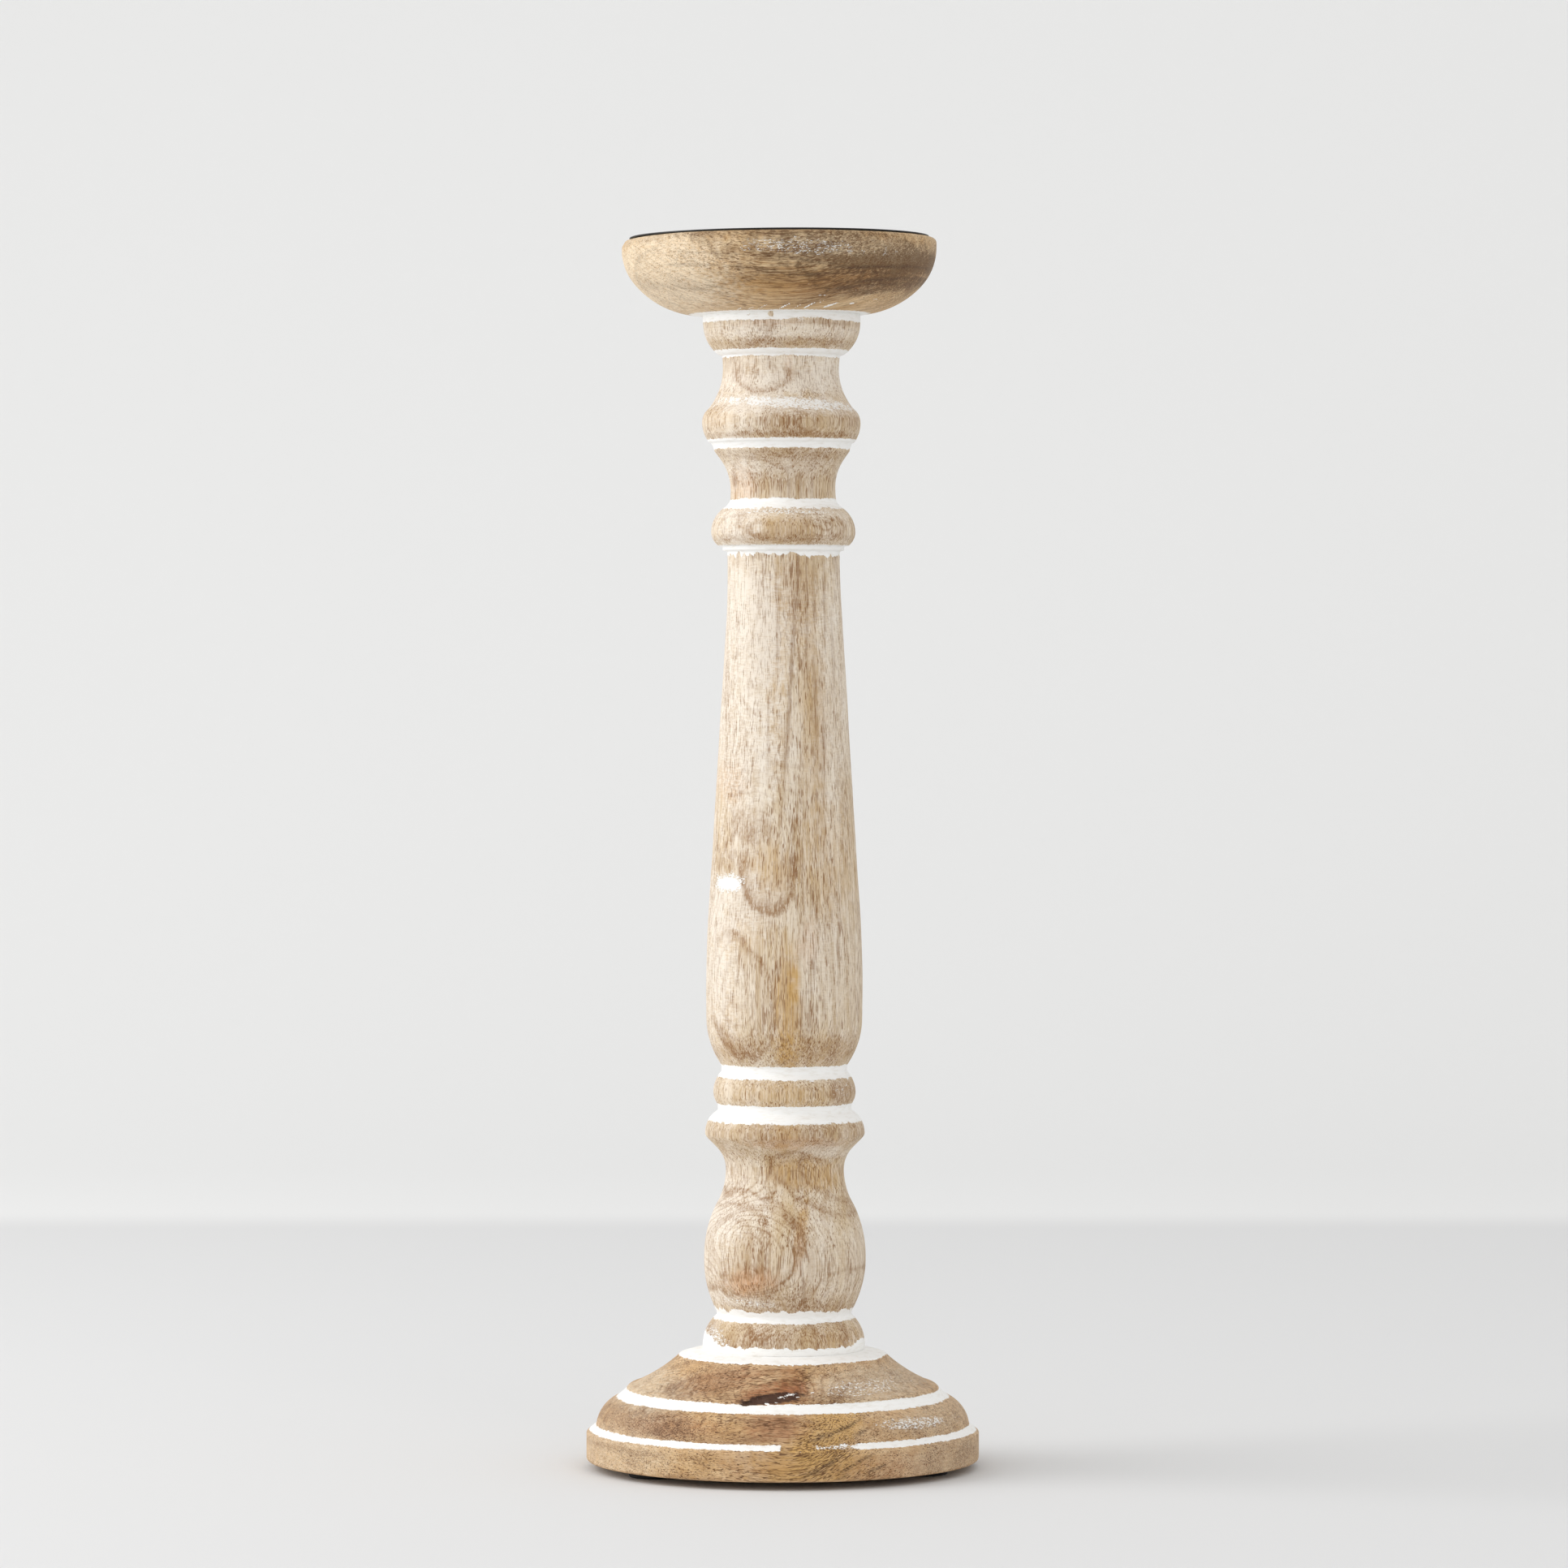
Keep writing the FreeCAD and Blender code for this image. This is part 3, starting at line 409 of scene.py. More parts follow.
COLUMN_FLECKS = [
    (0.9, (-16.4, 181.4), (5.2, 3.6), 4, 0.6), (0.55, (-14, 276), (3.4, 2.4), 0, 0.8),
    (0.5, (15, 276), (3.0, 2.0), 0, 0.8), (0.5, (2.4, 228), (3.4, 2.4), 0, 0.8),
    (0.4, (4.6, 237), (3.0, 5.0), 0, 0.8), (0.6, (19, 118), (4.5, 3.4), 0, 0.8),
    (0.5, (3.8, 183), (1.6, 7.0), 0, 0.8), (0.8, (-21, 41), (6, 4), -28, 0.8),
    (0.6, (21, 39), (6, 3), 20, 0.8), (0.5, (0, 281), (20, 2.2), 0, 0.8),
    (0.5, (0, 328), (25, 2.6), -3, 0.9), (0.5, (8, 101), (12, 2.6), 0, 0.9),
    (0.5, (-8, 80), (8, 10), 40, 0.9), (0.5, (-12, 53), (10, 3.0), 0, 0.8),
    (0.45, (0, 296), (18, 1.6), 0, 0.9), (0.4, (6, 313), (16, 1.6), 0, 0.9),
]
COLUMN_BARE = [
    (1.0, (-3.6, 355.4), (1.0, 1.0), 0, 0.6), (0.5, (-10, 354.9), (0.8, 0.5), 0, 0.6),
    (0.5, (8, 354.2), (6, 0.35), 0, 0.8), (0.4, (12, 355.6), (0.8, 0.5), 0, 0.6),
]
COLUMN_SWIRL = [
    (1.0, (-9, 70), (19, 20), 0, 0.8), (0.9, (10, 88), (15, 11), 0, 0.9),
    (0.6, (14, 60), (12, 12), 0, 1.0),
    (0.8, (6, 41), (22, 5), 0, 0.9), (0.6, (6, 322), (18, 6), 0, 1.0),
    (0.6, (2, 291), (22, 6), 0, 1.0), (0.5, (-2, 310), (16, 8), 0, 1.0),
    (0.4, (-14, 145), (10, 18), 12, 1.0), (0.4, (-8, 350), (16, 5), 0, 1.0),
]
COLUMN_BUMPS = [
    (1.8, (-15.7, 71), (17, 14), -6), (1.3, (9, 90), (12, 7), -14), (1.2, (-10.5, 59), (8, 5), 4),
    (0.9, (-4, 190), (8, 15), 0), (0.9, (-13.5, 147), (10, 18), 12), (1.0, (-6, 338), (9, 7), 0),
    (1.0, (9, 322), (9, 5), 0), (0.8, (15, 291), (6, 5), 0), (0.8, (8, 41), (6, 5), 0),
]
COLUMN_FOOT = 37
COLUMN_TOP = 356
OUTSIDE_TENONS = 12
COLUMN_UNEVEN = 0.10
# Paint fills the joint under the dish: from this height up the column is taller by the rest.
JOINT_FROM = 355.7
FILLED_JOINT = 0.35


def shape_column(points):
    """Wanders the column out of true, and lays paint, the marks of its wood and painted shade on it."""
    height = points[:, 2]
    radius = np.hypot(points[:, 0], points[:, 1])
    skin = (height > COLUMN_FOOT) & (height < COLUMN_TOP) & (radius > OUTSIDE_TENONS)
    uneven = COLUMN_UNEVEN * grain_noise(points, (14, 14, 22), 5, 2)
    paint = painted_bands(points, COLUMN_PAINT, 3)
    moved = outward(points, np.where(skin, uneven + PAINT_FILM * paint, 0))
    heights, offsets = zip(*COLUMN_WANDER)
    moved[:, 0] += np.interp(height, heights, offsets)
    moved[:, 2] += np.where((height > JOINT_FROM) & (radius > OUTSIDE_TENONS), FILLED_JOINT, 0)
    paint = np.maximum(paint, patches(moved, COLUMN_SPLASHES, 11)) - patches(moved, COLUMN_BARE, 12)
    return moved, {
        "paint": np.clip(paint, 0, 1),
        "fleck": patches(moved, COLUMN_FLECKS, 13),
        "amber": patches(moved, COLUMN_AMBER, 21),
        "rust": patches(moved, COLUMN_RUST, 22),
        "stain_and_shade": patches(moved, COLUMN_STAIN_AND_SHADE, 23) + contours(moved, COLUMN_CONTOURS, 24),
        "streak": patches(moved, COLUMN_STREAKS, 25),
        "chalk": patches(moved, COLUMN_CHALK, 26),
        "age": growth_age(moved, 2, (10, 42), 9.0, COLUMN_BUMPS, 27),
        "swirl": patches(moved, COLUMN_SWIRL, 28),
    }


# Marks in the base's wood.
BASE_AMBER = [
    (1.0, (14, 18), (11, 6.5), 30, 0.9), (1.0, (9, 7.5), (17, 6), 0, 1.0),
    (0.4, (-34, 7), (20, 5), 0, 1.0),
    (0.6, (3, 29), (6, 4), 40, 0.9), (0.2, (-30, 29), (16, 5), 0, 1.2), (0.4, (-24, 19), (14, 4), 0, 1.2),
]
BASE_RUST = [
    (1.0, (-2, 27.2), (10.5, 3.0), 6, 0.9), (0.6, (3, 31), (4, 4.5), -20, 0.9),
    (0.7, (-2, 18.5), (9, 4), 0, 1.0), (0.25, (-6, 8), (12, 3), 0, 1.0), (0.5, (-32, 18), (12, 3), 0, 1.0),
    (0.5, (-20, 30), (14, 2.6), 12, 1.0), (0.3, (30, 6), (14, 4), 0, 1.0),
]
BASE_DUSK = [
    (0.75, (-44, 18), (14, 4), 0, 1.0), (0.4, (-50, 9.5), (14, 1.2), 0, 1.0),
    (0.4, (-19, 30.5), (11, 2.6), 10, 1.0), (0.3, (-24, 27), (13, 2.0), 0, 1.0),
    (0.4, (-22, 15), (15, 2.5), 0, 1.2), (0.4, (12, 26), (9, 2.5), 0, 1.0),
    (0.35, (30, 28.5), (15, 4), 0, 1.2), (0.35, (44, 16), (12, 4), 0, 1.2),
    (0.5, (50, 6.5), (10, 5), 0, 1.0),
    (0.45, (-2, 19.6), (12, 1.6), 0, 0.9), (0.2, (20, 4.5), (18, 1.6), 0, 1.2),
]
BASE_CONTOURS = [
    (0.7, (-22, 17), (17, 3.6), 4, 1.2, 90, 60), (0.6, (-8, 19), (9, 4), 0, 1.2, 90, 70),
    (0.7, (-15, 29), (20, 3.6), 8, 1.2, 270, 60), (0.5, (-35, 6.5), (12, 3.0), 0, 1.0, 90, 60),
    (0.6, (14, 30), (11, 5), 30, 1.2, 60, 70),
]
BASE_CHALK = [
    (0.7, (27, 28.5), (17, 5), 0, 0.9), (0.4, (46, 18), (12, 4), 0, 1.0), (0.4, (50, 7), (12, 6), 0, 1.0),
    (0.7, (-42, 26), (14, 6), 0, 1.0), (0.5, (-48, 8), (14, 7), 0, 1.0), (0.15, (-46, 18), (10, 4), 0, 1.0),
]
BASE_FLECKS = [
    (0.72, (24, 28.2), (14, 2.6), 0, 0.8), (0.82, (40, 18), (13, 2.0), -3, 0.8),
    (0.6, (1.6, 26.9), (3.4, 0.9), 8, 0.8), (0.45, (-5, 25.4), (6, 0.8), 0, 0.7),
    (0.4, (-47, 19), (8, 3), 0, 0.9), (0.45, (12, 11), (20, 1.6), 0, 0.9), (0.35, (38, 8), (16, 3), 0, 0.9),
]
BASE_GAPS = [(0.9, (4, 12.3), (5, 2.0), 0, 0.5), (0.5, (15, 12.3), (8, 1.6), 0, 0.7)]
BASE_CRACK = [(1.0, (-3, 26.1), (8.5, 1.2), 6, 0.6), (0.8, (-9, 25.2), (3.5, 0.7), 14, 0.6)]
BASE_SPECKS = [
    (1.0, (2.4, 27.1), (1.9, 0.18), 9, 0.9), (0.9, (-0.6, 26.5), (1.1, 0.14), 12, 0.9),
    (0.8, (4.4, 26.5), (0.7, 0.14), 10, 0.9), (0.9, (-4.6, 25.0), (1.0, 0.14), 4, 0.9),
    (0.8, (-1.9, 25.2), (0.5, 0.14), 8, 0.9), (0.8, (9.0, 27.6), (0.7, 0.2), 12, 0.9),
]
BASE_STREAKS = [
    (0.9, (16, 17.2), (3.4, 0.4), 30, 0.9), (0.9, (20.5, 18.8), (3.0, 0.4), 28, 0.9),
    (0.8, (11.5, 15.8), (2.8, 0.4), 30, 0.9), (0.8, (24, 16.8), (2.6, 0.4), 24, 0.9),
    (0.9, (14, 8.2), (3.4, 0.4), 28, 0.9), (0.9, (20, 6.6), (3.8, 0.4), 28, 0.9),
    (0.8, (9, 5.4), (2.8, 0.4), 26, 0.9), (0.8, (25, 9.4), (3.0, 0.4), 24, 0.9),
    (0.7, (17.5, 3.6), (2.6, 0.4), 24, 0.9), (0.7, (29, 6.2), (3.0, 0.4), 20, 0.9),
]
BASE_SWIRL = [
    (1.3, (-16, 29), (24, 6), 0, 0.9), (0.7, (14, 29), (14, 6), 0, 1.0), (0.7, (-14, 18), (24, 5), 0, 1.0),
    (0.6, (12, 8), (20, 6), 0, 1.0), (0.4, (-34, 7), (20, 5), 0, 1.0),
]
BASE_BUMPS = [(1.6, (-3, 27), (12, 5), 5), (1.0, (-20, 16), (14, 5), 0), (0.9, (13, 19), (10, 6), 0)]


BASE_RADIUS = 60.7
UNDER_COLUMN = 26.5
UNDERSIDE = 3
CRACK_DEPTH = 0.9
CRACK_DARKNESS = 1.8
WIDE_UNEVEN = 0.12


def shape_base(points):
    """Opens the crack, and lays paint and the marks of its wood on the base's open faces."""
    radius = np.hypot(points[:, 0], points[:, 1])
    skin = (radius > UNDER_COLUMN) & (points[:, 2] > UNDERSIDE)
    crack = patches(points, BASE_CRACK, 13)
    paint = painted_bands(points, BASE_PAINT, 7) - patches(points, BASE_GAPS, 14) - crack
    paint = np.clip(np.maximum(paint, patches(points, BASE_SPECKS, 17)), 0, 1)
    uneven = WIDE_UNEVEN * grain_noise(points, (30, 30, 12), 9, 2)
    lift = np.minimum(uneven, 0.0) + PAINT_FILM * paint - CRACK_DEPTH * crack
    lift = np.where(skin, lift, 0)
    return outward(points, np.minimum(lift, BASE_RADIUS - radius)), marked(skin, {
        "paint": paint,
        "fleck": patches(points, BASE_FLECKS, 16),
        "amber": patches(points, BASE_AMBER, 51),
        "rust": patches(points, BASE_RUST, 52),
        "stain_and_shade": patches(points, BASE_DUSK, 53) + contours(points, BASE_CONTOURS, 54),
        "streak": CRACK_DARKNESS * crack + patches(points, BASE_STREAKS, 59),
        "chalk": patches(points, BASE_CHALK, 55),
        "age": growth_age(points, 0, (-20, -70), 7.0, BASE_BUMPS, 57),
        "swirl": patches(points, BASE_SWIRL, 58),
    })


def seated(points):
    """Sets a point of the dish or the tray where the hand-fitted dish really sits."""
    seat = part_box("candle_dish")[0].z / MM
    cos, sin = math.cos(DISH_TILT), math.sin(DISH_TILT)
    moved = points.copy()
    up = points[:, 2] - seat
    moved[:, 0] = points[:, 0] * cos - up * sin + DISH_OFFSET
    moved[:, 2] = seat + points[:, 0] * sin + up * cos
    return moved


# Marks in the dish's wood, and painted shade on its right side and underside.
DISH_AMBER = [(0.5, (-28, 367), (16, 8), 0, 1.2), (0.7, (8, 364.5), (28, 3.2), 4, 1.1)]
DISH_RUST = [(0.6, (24, 364.5), (24, 3.4), 8, 1.1), (0.3, (-24, 361), (10, 3), -12, 1.0)]
# Darker patches, most of them on the right side and under the dish: painted shade, partly the wood's own
# darker brown.
DISH_STAIN_AND_SHADE = [
    (0.9, (22, 373.5), (32, 5.0), -4, 0.9), (0.8, (34, 370.5), (18, 2.6), 4, 1.0),
    (0.2, (43, 366), (12, 9), 0, 1.1), (0.4, (8, 366), (30, 4), 4, 1.2),
    (0.45, (20, 360.8), (18, 1.4), 10, 1.0),
    (0.55, (38, 367.6), (14, 1.0), 8, 0.9), (0.5, (36, 363.6), (12, 0.9), 12, 0.9),
    (0.6, (30, 364.5), (18, 1.0), 6, 0.9), (0.4, (-6, 372), (12, 1.2), -18, 1.1),
    (0.5, (0, 379), (40, 1.3), 0, 1.0),
]
DISH_CONTOURS = [
    (0.5, (10, 374), (34, 9), -6, 1.4, 90, 70), (0.5, (30, 370), (24, 8.5), 6, 1.4, 90, 70),
    (0.4, (-20, 372), (24, 9), 8, 1.0, 90, 70),
]
DISH_CHALK = [
    (0.4, (22, 374.5), (24, 3.5), -3, 1.0), (1.0, (-38, 369), (20, 12), 0, 1.2),
    (0.5, (-24, 361), (14, 5), 0, 1.0),
]
DISH_STREAKS = [
    (0.6, (28, 368.6), (16, 0.45), 3, 0.9), (0.5, (18, 366.6), (16, 0.45), 2, 0.9),
    (0.5, (34, 365.4), (12, 0.45), 6, 0.9), (0.4, (9, 370.2), (12, 0.45), -8, 0.9),
    (0.4, (24, 363.0), (14, 0.45), 6, 0.9), (0.3, (-8, 368.0), (12, 0.45), -6, 0.9),
    (0.3, (-22, 373.0), (10, 0.45), -4, 0.9), (0.3, (-27, 369.6), (9, 0.45), -3, 0.9),
]
DISH_SWIRL = [(0.5, (0, 364), (34, 8), 0, 1.2), (0.6, (30, 366), (20, 4), 8, 1.0)]
DISH_FLECKS = [
    (0.70, (6, 374.4), (23, 2.8), -2, 0.8), (0.36, (40, 371), (10, 3.6), 0, 0.9),
    (0.4, (4, 362.0), (26, 1.8), 0, 0.9), (0.4, (5, 358.6), (19, 1.3), 4, 0.8),
]
DISH_STROKES = [
    (0.8, (-12.0, 356.9), (1.3, 0.15), 20, 0.9), (0.8, (-8.6, 357.0), (1.2, 0.15), 20, 0.9),
    (0.8, (-5.4, 357.1), (1.5, 0.15), 24, 0.9), (1.0, (1.5, 357.3), (2.0, 0.17), 22, 0.9),
    (0.7, (5.6, 357.3), (1.3, 0.14), 26, 0.9), (1.0, (9.0, 357.5), (2.4, 0.17), 24, 0.9),
    (1.0, (15.4, 357.6), (2.8, 0.2), 16, 0.9), (0.6, (12.4, 358.3), (1.4, 0.14), 24, 0.9),
    (0.8, (21.8, 358.2), (1.0, 0.2), 10, 0.9), (0.6, (29.0, 359.6), (1.0, 0.2), 10, 0.9),
]


RECESS_RADIUS = 43.5
RECESS_FLOOR = 369
DISH_SOCKET = 20
# The rim's outer edge is worn down, most of all on the left.
LEFT_WEAR = 1.5
RIGHT_WEAR = 0.3
TRAY_PROUD = 0.2


def shape_dish(points):
    """Wears the rim, lays paint, the marks of its wood and painted shade on the outside, and seats the
    dish.
    """
    radius = np.hypot(points[:, 0], points[:, 1])
    x, height = points[:, 0], points[:, 2]
    below = (height < RECESS_FLOOR) & (radius > DISH_SOCKET)
    outside = (radius > RECESS_RADIUS) | below
    uneven = WIDE_UNEVEN * grain_noise(points, (30, 30, 12), 15, 2)
    moved = outward(points, np.where(outside, uneven, 0))
    foot = np.where(below, 1 - smooth(height, 356.0, 356.95), 0)
    rim = smooth(radius, 46.6, 48.6) * smooth(height, 372, 379.5)
    moved[:, 2] -= rim * (LEFT_WEAR * smooth(-x, 28, 47) + RIGHT_WEAR * smooth(x, 10, 30))
    strokes = np.where(below, patches(points, DISH_STROKES, 69), 0)
    return seated(moved), marked(outside, {
        "paint": np.maximum(foot, strokes),
        "fleck": patches(points, DISH_FLECKS, 66),
        "amber": patches(points, DISH_AMBER, 61),
        "rust": patches(points, DISH_RUST, 62),
        "stain_and_shade": patches(points, DISH_STAIN_AND_SHADE, 63) + contours(points, DISH_CONTOURS, 64),
        "streak": patches(points, DISH_STREAKS, 70),
        "chalk": patches(points, DISH_CHALK, 65),
        "age": growth_age(points, 0, (25, 300), 8.0, [], 67),
        "swirl": patches(points, DISH_SWIRL, 68),
    })


def shape_tray(points):
    """Seats the tray with the dish, a little proud of its rim."""
    return seated(points + [0, 0, TRAY_PROUD]), {}


# ---- materials ---------------------------------------------------------------------------------

class Nodes:
    """Short calls for building a material. Each returns an output socket."""

    def __init__(self, name):
        self.material = bpy.data.materials.new(name)
        self.material.use_nodes = True
        self.tree = self.material.node_tree
        self.shader = self.tree.nodes["Principled BSDF"]

    def add(self, kind, settings=None, **inputs):
        node = self.tree.nodes.new(kind)
        for key, value in (settings or {}).items():
            setattr(node, key, value)
        for key, value in inputs.items():
            self.put(node.inputs[int(key[1:])], value)
        return node

    def put(self, socket, value):
        if isinstance(value, bpy.types.NodeSocket):
            self.tree.links.new(value, socket)
        elif value is not None:
            socket.default_value = value

    def math(self, operation, a, b=None, c=None):
        return self.add("ShaderNodeMath", {"operation": operation}, _0=a, _1=b, _2=c).outputs[0]

    def vector(self, operation, a, b=None):
        return self.add("ShaderNodeVectorMath", {"operation": operation}, _0=a, _1=b).outputs[0]

    def attribute(self, name):
        return self.add("ShaderNodeAttribute", {"attribute_name": name}).outputs["Fac"]

    def noise(self, vector, detail=2.0, rough=0.5, output="Fac"):
        node = self.add("ShaderNodeTexNoise")
        self.put(node.inputs["Vector"], vector)
        node.inputs["Scale"].default_value = 1.0
        node.inputs["Detail"].default_value = detail
        node.inputs["Roughness"].default_value = rough
        return node.outputs[output]

    def step(self, value, low, high, start=0.0, end=1.0):
        """start below low, end above high, smooth between."""
        node = self.add("ShaderNodeMapRange", {"interpolation_type": "SMOOTHSTEP"})
        for key, number in zip(("From Min", "From Max", "To Min", "To Max"), (low, high, start, end)):
            self.put(node.inputs[key], number)
        self.put(node.inputs["Value"], value)
        return node.outputs["Result"]

    def mix(self, factor, a, b, blend="MIX"):
        node = self.add("ShaderNodeMix", {"data_type": "RGBA", "blend_type": blend})
        self.put(node.inputs[0], factor)
        self.put(node.inputs[6], colour(a))
        self.put(node.inputs[7], colour(b))
        return node.outputs[2]

    def place(self):
        """The point's place in the object's own frame, in mm."""
        return self.scaled(self.add("ShaderNodeTexCoord").outputs["Object"], 1 / MM)

    def scaled(self, vector, size):
        node = self.add("ShaderNodeVectorMath", {"operation": "MULTIPLY"})
        self.put(node.inputs[0], vector)
        node.inputs[1].default_value = (size,) * 3 if isinstance(size, (int, float)) else size
        return node.outputs[0]

    def split(self, vector):
        return self.add("ShaderNodeSeparateXYZ", _0=vector).outputs

    def relief(self, height, strength, distance=MM):
        """Raises the surface's shading by height times distance, in metres."""
        bump = self.add("ShaderNodeBump")
        bump.inputs["Strength"].default_value = strength
        bump.inputs["Distance"].default_value = distance
        self.put(bump.inputs["Height"], height)
        self.put(self.shader.inputs["Normal"], bump.outputs[0])


def colour(value):
    """What a colour socket takes: three numbers get an alpha of 1, and sockets pass through."""
    return (*value, 1.0) if isinstance(value, tuple) and len(value) == 3 else value


def srgb(red, green, blue):
    """Linear colour from 0 to 255 screen values."""
    def linear(v):
        v /= 255
        return v / 12.92 if v <= 0.04045 else ((v + 0.055) / 1.055) ** 2.4
    return (linear(red), linear(green), linear(blue))


def wood(name, along, palette):
    """Open-pored mango wood. along is the grain's axis, X or Z, and palette names its colours.

    Thin vessels run along the grain all through the wood, so they show as dashes on a face cut
    along them and as dots on one cut across.
    """
    n = Nodes(name)
    where = n.place()
    if along == "X":
        x, y, z = n.split(where)
        rising = n.math("MULTIPLY_ADD", x, palette["rise"], z)
        rising = n.math("SUBTRACT", rising, n.step(x, 0, 34, 0, palette["lift"]))
        where_along = n.add("ShaderNodeCombineXYZ", _0=y, _1=rising, _2=x).outputs[0]
    else:
        where_along = where
    sway = n.noise(n.scaled(where_along, (1 / 24, 1 / 24, 1 / 80)), 1, output="Color")
    bent = n.vector("ADD", where_along, n.scaled(sway, (3, 3, 0)))

    streaks = n.noise(n.scaled(bent, (0.5, 0.5, 0.012)), 5, 0.62)
    threads = n.noise(n.scaled(bent, (2.4, 2.4, 0.05)), 3, 0.65)
    tone = n.math("ADD", n.math("MULTIPLY", streaks, 0.5), n.math("MULTIPLY", threads, 0.5))
    body = n.mix(n.step(tone, 0.39, 0.64), palette["pale"], palette["tan"])
    clouds = n.noise(n.scaled(bent, (0.09, 0.09, 0.02)), 2)
    body = n.mix(n.step(clouds, 0.45, 0.72, 0, 0.5), body, palette["gold"])
    fibre = n.step(threads, 0.3, 0.7, 0.5, 1.0)
    body = n.mix(n.math("MULTIPLY", n.attribute("amber"), fibre), body, palette["amber"])
    body = n.mix(n.math("MULTIPLY", n.attribute("rust"), fibre), body, palette["rust"])

    late = growth_lines(n, where, n.step(n.attribute("swirl"), 0, 1, 0.16, palette["lines"]))
    speckle = n.noise(n.scaled(bent, (1.8, 1.8, 0.7)), 3, 0.7)
    # Stains, and the painted shade on the column and the dish, darken the wood here, speckled by the grain.
    speckled_stain_and_shade = n.math("MULTIPLY", n.attribute("stain_and_shade"), n.step(speckle, 0.38, 0.60, 0.4, 1.0))
    dark = n.math("MINIMUM", n.math("ADD", late, speckled_stain_and_shade), 1.0)

    brushed = n.noise(n.scaled(where, (0.5, 0.5, 2.0)), 4, 0.65)
    bleach = n.noise(n.scaled(where, 0.14), 4, 0.6)
    wash = n.math("MULTIPLY", n.attribute("chalk"), n.step(brushed, 0.35, 0.65, 0.4, 1.0))
    wash = n.math("ADD", wash, n.step(bleach, 0.52, 0.75, 0, palette["bleach"]))
    body = n.mix(n.math("MINIMUM", wash, 0.8), body, palette["chalk"])
    body = n.mix(n.math("MULTIPLY", dark, palette["dark_depth"]), body, palette["brown"])

    marks = open_pores(n, bent, dark, palette)
    shown = n.math("MULTIPLY", marks, n.step(wash, 0, 1, palette["pore_depth"], 0.45))
    body = n.mix(shown, body, palette["pore"])
    streak = n.math("MULTIPLY", n.attribute("streak"), n.step(threads, 0.35, 0.6, 0.5, 1.0))
    body = n.mix(n.math("MINIMUM", streak, 0.9), body, palette["crack"])

    paint, film = paint_cover(n, where, palette["brush_rise"])
    n.put(n.shader.inputs["Base Color"], n.mix(paint, body, film))
    n.put(n.shader.inputs["Roughness"], n.step(paint, 0, 1, 0.62, 0.5))
    n.shader.inputs["Specular IOR Level"].default_value = 0.35

    hollows = n.math("MULTIPLY", marks, n.math("SUBTRACT", 1.0, paint))
    lathe_marks = n.noise(n.scaled(where, (0.02, 0.02, 1.6)), 2)
    height = n.math("ADD", n.math("MULTIPLY", hollows, -0.015), n.math("MULTIPLY", lathe_marks, 0.03))
    height = n.math("ADD", height, n.math("MULTIPLY", paint, 0.08))
    n.relief(height, 0.6)
    return n.material


def open_pores(n, bent, dark, palette):
    """0 to 1 where a vessel is cut open: short dashes, finer specks and long scratches.

    A slow noise and the darker wood change the level of noise at which they open.
    """
    length = palette["pore_length"]
    calm = n.noise(n.scaled(bent, (0.17, 0.17, 0.03)), 2)
    open_at = n.math("MULTIPLY_ADD", calm, 0.26, palette["open_at"] - 0.13)
    golden = n.math("MULTIPLY", n.attribute("amber"), palette["amber_pores"])
    open_at = n.math("SUBTRACT", open_at, golden)
    open_at = n.math("SUBTRACT", open_at, n.math("MULTIPLY", dark, 0.07))
    vessels = n.noise(n.scaled(bent, (2.8, 2.8, 1 / length)), 1)
    pores = n.step(vessels, open_at, n.math("ADD", open_at, 0.08))
    fully_open = n.math("ADD", open_at, 0.10)
    fine = n.noise(n.scaled(bent, (4.2, 4.2, 2.0 / length)), 1)
    specks = n.step(fine, open_at, fully_open, 0, 0.6)
    lines = n.noise(n.scaled(bent, (2.4, 2.4, 0.3 / length)), 2)
    scratches = n.step(lines, open_at, fully_open, 0, 0.6)
    return n.math("MAXIMUM", n.math("MAXIMUM", pores, specks), scratches)


def growth_lines(n, where, strength):
    """0 to strength, darkening to the end of each year's ring, with finer lines between."""
    ruffle = n.noise(n.scaled(where, 0.45), 3, 0.6)
    age = n.math("MULTIPLY_ADD", ruffle, 0.06, n.attribute("age"))
    year = n.math("FRACT", age)
    season = n.math("FRACT", n.math("MULTIPLY", age, 5.0))
    broad = n.math("MULTIPLY", n.step(year, 0.55, 0.96), n.step(year, 0.96, 1.0, 0.6, 0.0))
    thin = n.math("MULTIPLY", n.step(season, 0.55, 0.88), n.step(season, 0.88, 1.0, 1.0, 0.0))
    return n.math("MULTIPLY", n.math("MAXIMUM", broad, thin), strength)


def paint_cover(n, where, rise):
    """(how much of the wood the white paint hides, the paint's colour).

    The brush was drawn round the axis, climbing by rise across the front.
    """
    x, y, z = n.split(where)
    level = n.math("MULTIPLY_ADD", x, -rise, z)
    brush = n.add("ShaderNodeCombineXYZ", _0=x, _1=y, _2=level).outputs[0]
    edge = n.noise(n.scaled(where, (1.4, 1.4, 2.6)), 3, 0.6)
    thickness = n.math("MULTIPLY_ADD", n.math("SUBTRACT", edge, 0.5), 0.9, n.attribute("paint"))
    cover = n.step(thickness, 0.44, 0.58)
    bristles = n.noise(n.scaled(brush, (1.0, 1.0, 2.4)), 4, 0.75)
    spots = n.math("MULTIPLY_ADD", n.attribute("fleck"), 0.42, bristles)
    cover = n.math("MAXIMUM", cover, n.step(spots, 0.83, 0.90, 0, 0.92))
    dirt = n.noise(n.scaled(where, (0.3, 0.3, 1.3)), 5, 0.65)
    film = n.mix(n.step(dirt, 0.45, 0.75, 0, 0.6), srgb(248, 247, 244), srgb(228, 222, 212))
    return cover, film
